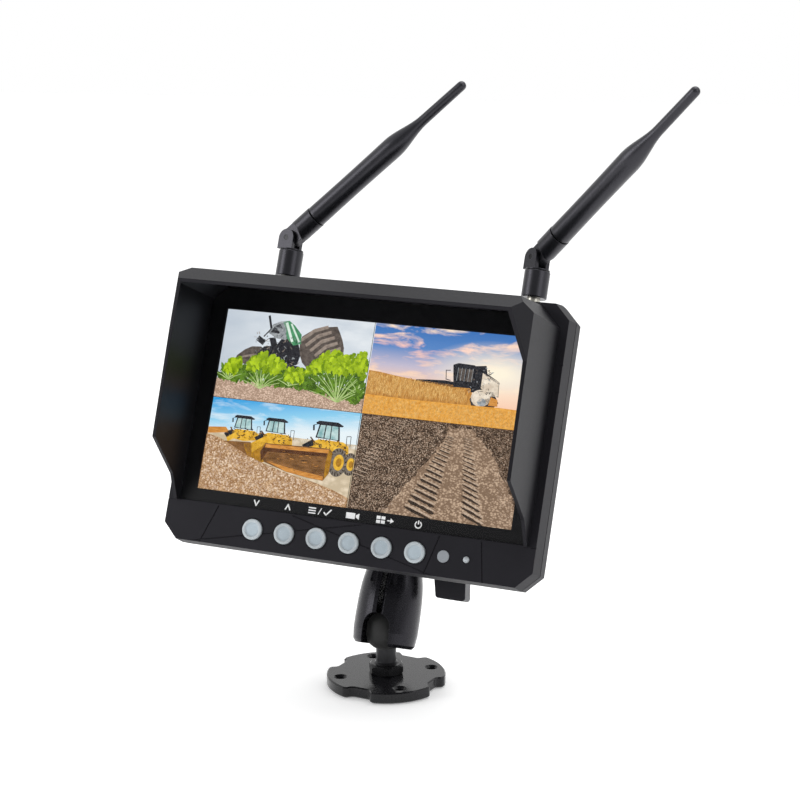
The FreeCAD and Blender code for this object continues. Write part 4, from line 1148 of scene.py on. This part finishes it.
    def loaders(self, s: Sheet) -> Sheet:
        """Draw three wheel loaders behind a heap of gravel."""
        s.add([(-80, -16), (0, -16), (0, 3), (-80, 3)], Tone.NOON)
        s.add([(-80, -14), (0, -14), (0, -45), (-80, -45)], Tone.SAND)
        s.layer()
        s.add([(-77, -13.6), (-68, -12.8), (-66, -15.2), (-77, -16.6)], Tone.RUST_PALE)
        for u, size in ((-59.6, 0.72), (-43.0, 0.78), (-16.6, 0.94)):
            self.loader(s, u, -13.4 - 1.6 * (size - 0.72), size)
            s.layer()
        # wheels of the nearest machine
        for u, v, ru, rv in ((-3.4, -23.2, 3.6, 5.2), (-9.4, -23.0, 4.6, 6.6)):
            s.add(oval(u, v, ru, rv, 36), Tone.TYRE)
            s.layer()
            for k in range(18):
                a = 2 * math.pi * k / 18
                s.add(bar((u + ru * 0.76 * math.cos(a), v + rv * 0.76 * math.sin(a)),
                          (u + ru * 0.97 * math.cos(a + 0.12), v + rv * 0.97 * math.sin(a + 0.12)), 0.45),
                      Tone.SHADOW)
            s.add(oval(u + 0.5, v, ru * 0.56, rv * 0.56), Tone.YELLOW)
            s.layer()
            s.add(oval(u + 0.6, v, ru * 0.3, rv * 0.3), Tone.YELLOW_DARK)
        # rear buckets, then the large one in front
        s.add([(-72.4, -18.4), (-69, -19.4), (-54, -18.6), (-52.6, -25.2), (-57, -25.8), (-66, -22.4)], Tone.RUST)
        s.add([(-57.6, -19.6), (-45.6, -17.6), (-43, -26), (-49, -28.2), (-54.6, -25.4)], Tone.YELLOW_DARK)
        s.add([(-53.6, -18.8), (-44.6, -13.6), (-42.6, -15.4), (-52.6, -23.4)], Tone.YELLOW)
        s.layer()
        bucket = [(-46.6, -18.2), (-14.2, -17.2), (-12.4, -19), (-12.8, -28.6), (-15.2, -32.2), (-22, -31.8),
                  (-34, -30.2), (-45.6, -27), (-48.6, -23)]
        s.add(bucket, Tone.RUST)
        s.layer()
        s.add([(-46.2, -18.6), (-14.6, -17.7), (-14.4, -19.4), (-46.4, -20.2)], Tone.RUST_PALE)
        s.add([(-46.2, -20.2), (-15, -19.4), (-15.6, -21.2), (-46.8, -22)], Tone.RUST_DARK)
        s.add([(-44.6, -26.4), (-30, -28.6), (-15.4, -30.2), (-15.2, -32.0), (-22, -31.7), (-34, -30.1)],
              Tone.RUST_PALE)
        s.add([(-14.4, -17.6), (-12.6, -19.2), (-12.9, -28.4), (-14.8, -31.6), (-15.2, -24)], Tone.YELLOW_DARK)
        s.add([(-48.4, -22), (-46, -18.8), (-44.6, -21.6), (-47.4, -27)], Tone.RUST_DARK)
        rng = random.Random(15)
        for _ in range(40):
            p = (rng.uniform(-44, -17), rng.uniform(-29, -21))
            s.add(bar(p, (p[0] + rng.uniform(0.5, 2.4), p[1] + rng.uniform(-0.3, 0.3)), rng.uniform(0.1, 0.3)),
                  rng.choice((Tone.RUST_DARK, Tone.RUST_PALE, Tone.SHADOW)))
        s.layer()
        s.add([(-80, -16.6), (-76, -17), (-70, -18.2), (-62, -21.6), (-54, -25.2), (-46, -27.6), (-36, -30.2),
               (-28, -31.8), (-20, -33.2), (-10, -35.6), (0, -39), (0, -45), (-80, -45)], Tone.HEAP)
        return s

    def loader(self, s: Sheet, u: float, v: float, size: float) -> None:
        """Draw one loader's cab, body and lifting arm.

        Args:
            s: Sheet to draw on.
            u: Middle of the cab.
            v: Height of the cab's sill.
            size: Scale of the machine.
        """
        def at(x: float, y: float) -> Point2:
            """Return a point of the machine on the picture."""
            return (u + x * size, v + y * size)

        s.add([at(-9, -5.5), at(-8, -1.6), at(-4, 0.4), at(9, 0.2), at(12, -1.6), at(12.6, -5.4), at(2, -7)],
              Tone.YELLOW)
        s.add([at(-12.5, -3.4), at(-7.6, -0.2), at(-4.4, -1.6), at(-10, -6)], Tone.IRON)
        s.add([at(7, -1), at(12, -2), at(12.2, -5.6), at(6.4, -6)], Tone.YELLOW_DARK)
        s.add([at(-6, 1), at(-4.8, 8.2), at(5.8, 8.2), at(7, 0.6)], Tone.IRON)
        s.layer()
        s.add([at(-5.2, 1.6), at(-4.1, 7.4), at(-1.6, 7.5), at(-1.8, 1.2)], Tone.CAB_GLASS)
        s.add([at(-1.2, 1.2), at(-1.0, 7.5), at(1.4, 7.5), at(1.6, 1.0)], Tone.CAB_GLASS)
        s.add([at(2.1, 1.0), at(1.9, 7.5), at(5.1, 7.4), at(6.0, 1.0)], Tone.CAB_GLASS)
        s.add([at(-6.8, 8.4), at(-5.2, 9.4), at(4.8, 9.5), at(8.0, 8.0), at(7.2, 7.4), at(-6.2, 7.6)], Tone.IRON)
        s.add(bar(at(-7.8, 7.0), at(-7.4, 4.4), 0.9 * size), Tone.IRON)
        s.add(bar(at(-6, 7.6), at(-8, 7.0), 0.3 * size), Tone.IRON)
        s.layer()
        rng = random.Random(int(-u * 10))
        for _ in range(46):
            p = at(rng.uniform(-10, 11), rng.uniform(-5, 0.6))
            q = (p[0] + rng.uniform(-1.4, 1.4), p[1] + rng.uniform(-1.0, 1.0))
            s.add(bar(p, q, rng.uniform(0.2, 0.55)), rng.choice((Tone.IRON, Tone.YELLOW_DARK, Tone.RUST_DARK)))
        s.layer()
        s.add([at(-1.8, -1.2), at(1.4, -0.4), at(-3.6, -5.4), at(-9, -8.4), at(-10.4, -5.9)], Tone.YELLOW)
        s.add(oval(*at(-2.6, -2.8), 1.0 * size, 1.0 * size, 16), Tone.IRON)
        s.add([at(-9.6, -1.6), at(-6.8, -0.6), at(-6.6, -3.2), at(-9, -4.2)], Tone.IRON)
        s.add(bar(at(-8.6, 1.0), at(-5.8, -1.6), 0.7 * size), Tone.RUST_DARK)
        s.add(bar(at(10.4, 3.2), at(10.8, -2.2), 0.3 * size), Tone.IRON)
        s.add(bar(at(12.6, 3.4), at(12.8, -2.2), 0.3 * size), Tone.IRON)
        s.add(bar(at(10.4, 3.2), at(12.6, 3.4), 0.3 * size), Tone.IRON)

    @staticmethod
    def clod(a: Point2, b: Point2, width: float, rng: random.Random) -> List[Point2]:
        """Return the crumbly outline of one pressed lug between two points."""
        d = Vector((b[0] - a[0], b[1] - a[1]))
        n = Vector((-d.y, d.x)).normalized()
        upper, lower = [], []
        for k in range(8):
            base = Vector(a) + d * (k / 7)
            half = width / 2 * (0.35 if k in (0, 7) else rng.uniform(0.6, 1.25))
            upper.append(base + n * half)
            lower.append(base - n * half * rng.uniform(0.7, 1.1))
        return [(p.x, p.y) for p in upper + list(reversed(lower))]

    @staticmethod
    def crumbled(outline: Sequence[Point2], bits: int = 14, swing: float = 0.7) -> List[Point2]:
        """Return an outline with each side broken into uneven crumbs."""
        rng = random.Random(8)
        rough = []
        for (a, b), (c, d) in zip(outline, outline[1:] + outline[:1]):
            for k in range(bits):
                t = k / bits
                rough.append((a + (c - a) * t + rng.uniform(-swing, swing),
                              b + (d - b) * t + rng.uniform(-swing, swing)))
        return rough

    def tracks(self, s: Sheet) -> Sheet:
        """Draw tyre tracks running away over ploughed soil."""
        s.add([(-3, -45), (80, -45), (80, 2), (-3, 2)], Tone.CLOD)
        s.layer()
        # two rows of lugs of the near track, drawn from far to near
        near_track = [(41, -1.2), (52, -1.2), (64, -12), (80, -38), (80, -45), (14, -45), (27, -26), (39, -9)]
        s.add(self.crumbled(near_track), Tone.TRACK)
        s.layer()
        rng = random.Random(33)
        for k in range(19):
            t = (k / 18) ** 1.5
            size = 0.16 + 0.92 * t
            v = -5.4 - 35.0 * t
            reach = 4.6 + 15.5 * t
            wob = rng.uniform(-0.5, 0.5) * size
            outer = (45.4 - reach + wob, v + 1.5 * size)
            inner = (44.2 - 5.0 * t + wob, v - 2.9 * size)
            s.add(self.clod(outer, inner, 1.5 * size, rng), Tone.SHADOW)
            s.add(self.clod((outer[0] + 0.3, outer[1] + 1.05 * size), (inner[0] + 0.3, inner[1] + 1.15 * size),
                            0.9 * size, rng), Tone.RIDGE)
            start = (48.4 + 4.2 * t, v + 1.6 * size)
            end = (start[0] + 4.4 + 6.0 * t + wob, v - 2.4 * size)
            s.add(self.clod(start, end, 1.1 * size, rng), Tone.SHADOW)
            s.add(self.clod((start[0] + 0.5, start[1] + 0.9 * size), (end[0] + 0.5, end[1] + 0.9 * size),
                            0.9 * size, rng), Tone.RIDGE)
            s.depth += 0.004
        # an older track that curves away to the left
        for k in range(22):
            t = k / 21
            u = 24 - 22 * t ** 0.8
            v = -0.6 - 27 * t ** 1.4
            size = 0.35 + 0.5 * t
            s.add(self.clod((u - 3.2 * size - 1.2, v + 0.5), (u + 3.6 * size, v - 0.9 * size), 0.5 * size, rng),
                  Tone.SHADOW)
            s.add(self.clod((u - 3.2 * size - 1.0, v + 1.0), (u + 3.6 * size, v - 0.3 * size), 0.4 * size, rng),
                  Tone.RIDGE)
        return s


# ------------------------------------------------------------------ border, symbols and buttons
@dataclass
class PrintedBorder:
    """Black print round the picture on the back of the clear cover, with white symbols over the buttons."""

    monitor: MonitorFrame
    symbol_v: float = -46.2
    first_u: float = -45.5
    pitch: float = 15.95
    corner: float = 6.5
    gap: float = 0.12
    border_depths: Tuple[float, float] = (1.8, 1.86)
    symbol_depths: Tuple[float, float] = (1.88, 1.92)
    ring_radii: Tuple[float, float] = (1.75, 1.2)

    def dress(self, finishes: Dict[str, bpy.types.Material]) -> List[bpy.types.Object]:
        """Build the border and its symbols.

        Args:
            finishes: Finishes by name.

        Returns:
            The pieces.
        """
        pieces = [self.border(finishes["border print"]), self.symbols(finishes["white print"])]
        for piece in pieces:
            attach(piece, Bodies.MONITOR.value)
            log.info("printed piece %s", piece.name)
        return pieces

    def border(self, finish: bpy.types.Material) -> bpy.types.Object:
        """Build the black border as one ring."""
        m = self.monitor
        half, top, low = m.panel_half - self.gap, m.panel_top - self.gap, m.panel_bottom + self.gap
        cut = self.corner
        outer = [(-half, low), (half, low), (half, top - cut), (half - cut, top), (-half + cut, top),
                 (-half, top - cut)]
        w, h = m.picture_w / 2, m.picture_h / 2
        inner = [(-w, -h), (w, -h), (w, h * 0.98), (w, h), (-w, h), (-w, h * 0.98)]
        bm = bmesh.new()
        rings = []
        back, front = self.border_depths
        for points, z in ((outer, back), (outer, front), (inner, front), (inner, back)):
            rings.append([bm.verts.new((x, y, z)) for x, y in points])
        for a, b in zip(rings, rings[1:] + rings[:1]):
            for i in range(len(outer)):
                k = (i + 1) % len(outer)
                bm.faces.new((a[i], a[k], b[k], b[i]))
        bmesh.ops.recalc_face_normals(bm, faces=bm.faces)
        mesh = mesh_from(bm, "screen_border")
        mesh.materials.append(finish)
        return finish_mesh("screen_border", mesh, m.screen())

    def symbols(self, finish: bpy.types.Material) -> bpy.types.Object:
        """Build the six white symbols as one piece."""
        bm = bmesh.new()
        v = self.symbol_v
        low, high = self.symbol_depths

        def put(outline: Sequence[Point2]) -> None:
            """Print one closed shape."""
            prism_into(bm, outline, low, high, 0)

        for index, way in ((0, -1), (1, 1)):
            u = self.first_u + self.pitch * index
            put(bar((u - 1.25, v - 1.3 * way), (u + 0.16, v + 1.45 * way), 0.62))
            put(bar((u + 1.25, v - 1.3 * way), (u - 0.16, v + 1.45 * way), 0.62))
        u = self.first_u + self.pitch * 2
        for k in range(3):
            put(bar((u - 5.6, v + 1.15 - 1.15 * k), (u - 2.0, v + 1.15 - 1.15 * k), 0.58))
        put(bar((u - 0.7, v - 1.5), (u + 0.7, v + 1.5), 0.42))
        put(bar((u + 2.0, v - 0.1), (u + 3.3, v - 1.4), 0.62))
        put(bar((u + 3.1, v - 1.4), (u + 5.6, v + 1.4), 0.62))
        u = self.first_u + self.pitch * 3
        put([(u - 3.0, v - 1.35), (u + 1.4, v - 1.35), (u + 1.4, v + 1.35), (u - 3.0, v + 1.35)])
        put([(u + 1.8, v - 0.5), (u + 3.4, v - 1.4), (u + 3.4, v + 1.4), (u + 1.8, v + 0.5)])
        u = self.first_u + self.pitch * 4
        for du in (-3.2, -0.9):
            for dv in (-0.95, 0.95):
                put([(u + du - 0.95, v + dv - 0.72), (u + du + 0.95, v + dv - 0.72), (u + du + 0.95, v + dv + 0.72),
                     (u + du - 0.95, v + dv + 0.72)])
        put(bar((u + 1.1, v), (u + 2.8, v), 0.5))
        put([(u + 2.6, v - 1.2), (u + 4.3, v), (u + 2.6, v + 1.2)])
        u = self.first_u + self.pitch * 5
        wide, narrow = self.ring_radii
        for k in range(20):
            a0 = math.radians(120 + 300 * k / 20)
            a1 = math.radians(120 + 300 * (k + 1) / 20 + 2)
            put([(u + r * math.cos(a), v + r * math.sin(a))
                 for r, a in ((wide, a0), (narrow, a0), (narrow, a1), (wide, a1))])
        put(bar((u, v + 0.2), (u, v + 1.95), 0.55))
        mesh = mesh_from(bm, "button_symbols")
        mesh.materials.append(finish)
        return finish_mesh("button_symbols", mesh, self.monitor.screen())


@dataclass
class PushButtons:
    """Six round keys with a raised rim, painted a little lighter than the centre as a painted highlight, and a dished
    centre.
    """

    monitor: MonitorFrame
    count: int = 6
    first_x: float = -44.7
    pitch: float = 15.95
    radius: float = 4.8
    proud: float = 1.15
    foot: float = -2.0

    def dress(self, rim: bpy.types.Material, centre: bpy.types.Material) -> List[bpy.types.Object]:
        """Build the keys; each stands for one packed button.

        Args:
            rim: Finish of the raised ring, painted lighter than the dish as a painted highlight.
            centre: Finish of the dish.

        Returns:
            The pieces.
        """
        r = self.radius
        top = self.proud
        profile: List[Point2] = [(0, self.foot - 2.0), (r - 0.2, self.foot - 2.0), (r, self.foot - 1.8)]
        profile += rounded((r, self.foot), (r, top - 0.05), (r - 1.0, top), 0.6, 6)
        profile += rounded((r - 0.8, top), (r - 1.35, top), (r - 1.5, top - 0.6), 0.3, 4)
        profile += [(r - 1.6, top - 0.62), (r - 2.6, top - 0.56), (r - 3.8, top - 0.5), (0, top - 0.48)]
        made = []
        for index in range(self.count):
            mesh = lathe(profile, 72)
            mesh.materials.append(rim)
            mesh.materials.append(centre)
            for face in mesh.polygons:
                c = face.center
                if c.z > top - 0.7 and math.hypot(c.x, c.y) < r - 1.55:
                    face.material_index = 1
            x = self.first_x + self.pitch * index
            local = Matrix.Translation((x, self.monitor.bezel_front, self.monitor.button_z))
            local = local @ Matrix.Rotation(math.radians(90), 4, "X")
            name = f"button_{index + 1}"
            piece = finish_mesh("key_" + str(index + 1), mesh, self.monitor.matrix() @ local, True)
            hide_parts(name)
            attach(piece, name)
            made.append(piece)
            log.info("button piece %s", piece.name)
        return made


@dataclass
class Antenna:
    """One turned whip, set at the hinge of its forked foot."""

    side: Bodies
    hinge: str
    fold_name: str
    sleeve_end: float = 17.0
    length: float = 115.0
    radius: float = 5.3
    tip: float = 2.25

    def place(self) -> Matrix:
        """Return the placement along the folded whip, in millimetres."""
        data = joint(self.hinge)
        pin = Vector(data["axis"]).normalized()
        start = Vector(data["pos_m"])
        upright = Vector(joint(self.fold_name + "_swivel_turn")["axis"])
        along = (Matrix.Rotation(-math.radians(data["range_deg"][0]), 3, pin) @ upright).normalized()
        right = pin.cross(along).normalized()
        turn4 = Matrix((right, pin, along)).transposed().to_4x4()
        return Matrix.Translation(start) @ turn4 @ Matrix.Scale(MM, 4)

    def dress(self, finish: bpy.types.Material) -> bpy.types.Object:
        """Build the whip.

        Args:
            finish: Finish of the whip.

        Returns:
            The piece.
        """
        r, end, knee, neck = self.radius, self.length, self.length * 0.6, self.length * 0.77
        profile: List[Point2] = [(0, self.sleeve_end), (r - 0.5, self.sleeve_end), (r - 0.5, self.sleeve_end + 0.5)]
        profile += rounded((r - 0.4, self.sleeve_end + 0.5), (r, self.sleeve_end + 0.5), (r, self.sleeve_end + 2),
                           0.3, 3)
        for k in range(9):
            t = k / 8
            profile.append((r - 0.15 * math.sin(math.pi * t), self.sleeve_end + 2 + (knee - self.sleeve_end - 3) * t))
        for k in range(1, 15):
            t = k / 14
            ease = t * t * (3 - 2 * t)
            profile.append((r + (self.tip + 0.2 - r) * ease, knee - 1 + (neck - knee + 1) * t))
        for k in range(1, 5):
            profile.append((self.tip + 0.2 - 0.05 * k, neck + (end - self.tip - neck) * k / 4))
        for k in range(1, 8):
            a = math.pi / 2 * k / 7
            profile.append((self.tip * math.cos(a) if k < 7 else 0.0, end - self.tip + self.tip * math.sin(a)))
        mesh = lathe(profile, 56)
        mesh.materials.append(finish)
        piece = finish_mesh(self.fold_name + "_rod", mesh, self.place(), True)
        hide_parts(self.fold_name + "_whip")
        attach(piece, self.side.value)
        log.info("antenna piece %s", piece.name)
        return piece


# ------------------------------------------------------------------ studio
@dataclass
class Studio:
    """Floor, lamps and camera."""

    eye: Tuple[float, float, float] = (0.3040, -0.7737, 0.3175)
    aim: Tuple[float, float, float] = (-0.3503, 0.9132, -0.2079)
    lens: float = 81.0
    front_light: float = 0.35
    front: Tuple[float, float, float] = (0.36, -0.93, 0.0)
    dimming: Tuple[float, float] = (0.1, 0.75)
    lamp_target: Tuple[float, float, float] = (0.0, 0.0, 0.14)
    floor_half: float = 6.0
    floor_drop: float = 0.0005
    floor_glow: float = 0.25

    def build(self) -> None:
        """Set up the whole stage."""
        self.floor()
        self.lamps()
        self.camera()
        self.world()
        scene = bpy.context.scene
        scene.view_settings.view_transform = "Standard"
        scene.view_settings.look = "None"

    def floor(self) -> None:
        """Lay a wide pale floor."""
        bm = bmesh.new()
        bmesh.ops.create_grid(bm, x_segments=2, y_segments=2, size=self.floor_half)
        mesh = mesh_from(bm, "floor")
        r = Recipe("pale floor")
        mottle = r.noise(r.place(), 0.004, 2.0)
        r.link(r.ramp(mottle, [(0.3, (0.9, 0.9, 0.9)), (0.7, (0.93, 0.93, 0.93))]), r.shader.inputs["Base Color"])
        r.shader.inputs["Roughness"].default_value = 0.9
        r.shader.inputs["Emission Color"].default_value = (1, 1, 1, 1)
        r.shader.inputs["Emission Strength"].default_value = self.floor_glow
        mesh.materials.append(r.material)
        floor = bpy.data.objects.new("floor", mesh)
        floor.location.z = CAD_BOX[0].z - self.floor_drop
        bpy.context.scene.collection.objects.link(floor)

    def lamp(self, name: str, at: Sequence[float], size: float, power: float) -> None:
        """Hang one soft square lamp aimed at the monitor."""
        data = bpy.data.lights.new(name, "AREA")
        data.size = size
        data.energy = power
        lamp = bpy.data.objects.new(name, data)
        lamp.location = at
        lamp.rotation_mode = "QUATERNION"
        lamp.rotation_quaternion = (Vector(self.lamp_target) - Vector(at)).to_track_quat("-Z", "Y")
        bpy.context.scene.collection.objects.link(lamp)

    def lamps(self) -> None:
        """Hang the studio's soft boxes."""
        self.lamp("key_right", (1.3, -0.5, 0.9), 0.9, 5.0)
        self.lamp("fill_left", (-1.2, -0.9, 0.7), 0.8, 7.0)
        self.lamp("top", (0.2, 0.2, 1.6), 1.2, 12.0)

    def camera(self) -> None:
        """Place the camera."""
        data = bpy.data.cameras.new("view")
        data.lens = self.lens
        data.sensor_width = 36.0
        data.clip_start = 0.01
        camera = bpy.data.objects.new("view", data)
        camera.location = self.eye
        camera.rotation_mode = "QUATERNION"
        camera.rotation_quaternion = Vector(self.aim).to_track_quat("-Z", "Y")
        bpy.context.scene.collection.objects.link(camera)
        bpy.context.scene.camera = camera

    def world(self) -> None:
        """Light the room from all sides but the front, in front of a white backdrop."""
        world = bpy.data.worlds.new("room")
        bpy.context.scene.world = world
        world.use_nodes = True
        nodes, links = world.node_tree.nodes, world.node_tree.links
        toward = nodes.new("ShaderNodeTexCoord").outputs["Generated"]
        facing = nodes.new("ShaderNodeVectorMath")
        facing.operation = "DOT_PRODUCT"
        facing.inputs[1].default_value = self.front
        links.new(toward, facing.inputs[0])
        fade = nodes.new("ShaderNodeMapRange")
        start, end = self.dimming
        for socket, value in (("From Min", start), ("From Max", end), ("To Min", 1.0), ("To Max", self.front_light)):
            fade.inputs[socket].default_value = value
        links.new(facing.outputs["Value"], fade.inputs["Value"])
        backdrop = nodes.new("ShaderNodeMix")
        links.new(nodes.new("ShaderNodeLightPath").outputs["Is Camera Ray"], backdrop.inputs[0])
        links.new(fade.outputs["Result"], backdrop.inputs[2])
        backdrop.inputs[3].default_value = 1.0
        links.new(backdrop.outputs[0], nodes["Background"].inputs["Strength"])
        nodes["Background"].inputs["Color"].default_value = (1, 1, 1, 1)


# ------------------------------------------------------------------ dressing
def hard_finishes() -> Dict[str, bpy.types.Material]:
    """Return the finishes of the hard pieces by name."""
    makers = [
        MouldedPlastic("case plastic", (0.0065, 0.0063, 0.0078), 0.5, 3.2, 0.02, 0.35, 0.22),
        MouldedPlastic("hood plastic", (0.005, 0.005, 0.006), 0.44, 3.0, 0.025, 0.35, 0.2),
        MouldedPlastic("arm plastic", (0.004, 0.004, 0.005), 0.26, 1.2, 0.006, 0.5, 0.34),
        MouldedPlastic("knob plastic", (0.008, 0.008, 0.0095), 0.36, 2.2, 0.02, 0.6, 0.5),
        MouldedPlastic("antenna plastic", (0.006, 0.0065, 0.0075), 0.3, 3.4, 0.012, 0.4, 0.52),
        # the key rim is painted lighter than the key centre: a painted highlight on the raised ring
        MouldedPlastic("key rim painted highlight", (0.4, 0.44, 0.46), 0.35, 2.0, 0.005, 0.15, 0.3),
        MouldedPlastic("key centre", (0.36, 0.42, 0.46), 0.5, 2.0, 0.008, 0.1, 0.25),
        MouldedPlastic("sensor window", (0.26, 0.28, 0.3), 0.35, 2.0, 0.002, 0.1, 0.3),
        MouldedPlastic("lamp lens", (0.4, 0.43, 0.45), 0.3, 2.0, 0.002, 0.1, 0.3),
        MouldedPlastic("chip epoxy", (0.01, 0.01, 0.011), 0.5),
        PaintedPlate("mount coat", (0.008, 0.008, 0.0095), 0.24),
        TurnedMetal("stud steel", (0.035, 0.035, 0.038), 0.34, 0.7),
        TurnedMetal("blackened nut", (0.02, 0.02, 0.022), 0.26, 0.6),
        TurnedMetal("bright steel", (0.62, 0.62, 0.63), 0.25),
        TurnedMetal("plated brass", (0.55, 0.53, 0.47), 0.3),
        TurnedMetal("tray steel", (0.6, 0.6, 0.6), 0.35),
        SoftRubber("ball rubber", (0.006, 0.006, 0.006)),
        Print("border print", (0.006, 0.006, 0.007), 0.35),
        Print("white print", (0.88, 0.88, 0.88), 0.5),
        ClearCover(),
        CircuitBoard(),
    ]
    return {maker.name: maker.build() for maker in makers}


NODE_FINISHES: Dict[str, Tuple[str, ...]] = {
    "case plastic": ("front_bezel", "rear_housing"),
    "hood plastic": ("sun_hood",),
    "arm plastic": ("arm_left_half", "arm_right_half"),
    "knob plastic": ("clamp_knob",),
    "antenna plastic": ("left_knuckle", "right_knuckle", "left_sleeve", "right_sleeve", "left_whip", "right_whip",
                        "antenna_collars"),
    "sensor window": ("sensor_window",),
    "lamp lens": ("indicator_lens",),
    "chip epoxy": ("board_chips", "key_switches", "lcd_panel"),
    "mount coat": ("base_plate", "monitor_plate"),
    "stud steel": ("lower_ball_stud", "upper_ball_stud"),
    "blackened nut": ("lower_lock_nut", "upper_lock_nut", "speaker", "left_hinge_pin", "right_hinge_pin"),
    "bright steel": ("clamp_bolt", "clamp_spring", "knob_washer", "plate_screws", "board_screws", "housing_screws",
                     "power_inlet", "radio_shield"),
    "plated brass": ("antenna_jacks", "jack_nuts", "knob_insert"),
    "tray steel": ("backlight_tray",),
    "ball rubber": ("lower_ball_cover", "upper_ball_cover", "lens_gasket"),
    "clear cover": ("screen_lens",),
    "solder mask": ("main_board", "button_board"),
    "key rim painted highlight": tuple(f"button_{k + 1}" for k in range(6)),
}


def dress_nodes(finishes: Dict[str, bpy.types.Material]) -> None:
    """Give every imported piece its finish.

    Args:
        finishes: Finishes by name.
    """
    for finish, names in NODE_FINISHES.items():
        for name in names:
            node = frame["nodes"][name]
            if not node.material_slots:
                node.data.materials.append(finishes[finish])
            for slot in node.material_slots:
                slot.material = finishes[finish]
            log.info("dressed %s in %s", name, finish)


def main() -> None:
    """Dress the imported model, add the new pieces and set the stage."""
    logging.basicConfig(level=logging.INFO, format="%(message)s")
    monitor = MonitorFrame()
    finishes = hard_finishes()
    dress_nodes(finishes)
    LitPicture(monitor).dress()
    PrintedBorder(monitor).dress(finishes)
    PushButtons(monitor).dress(finishes["key rim painted highlight"], finishes["key centre"])
    Antenna(Bodies.LEFT_ANTENNA, "left_fold", "left").dress(finishes["antenna plastic"])
    Antenna(Bodies.RIGHT_ANTENNA, "right_fold", "right").dress(finishes["antenna plastic"])
    Studio().build()


if __name__ == "__main__":
    main()
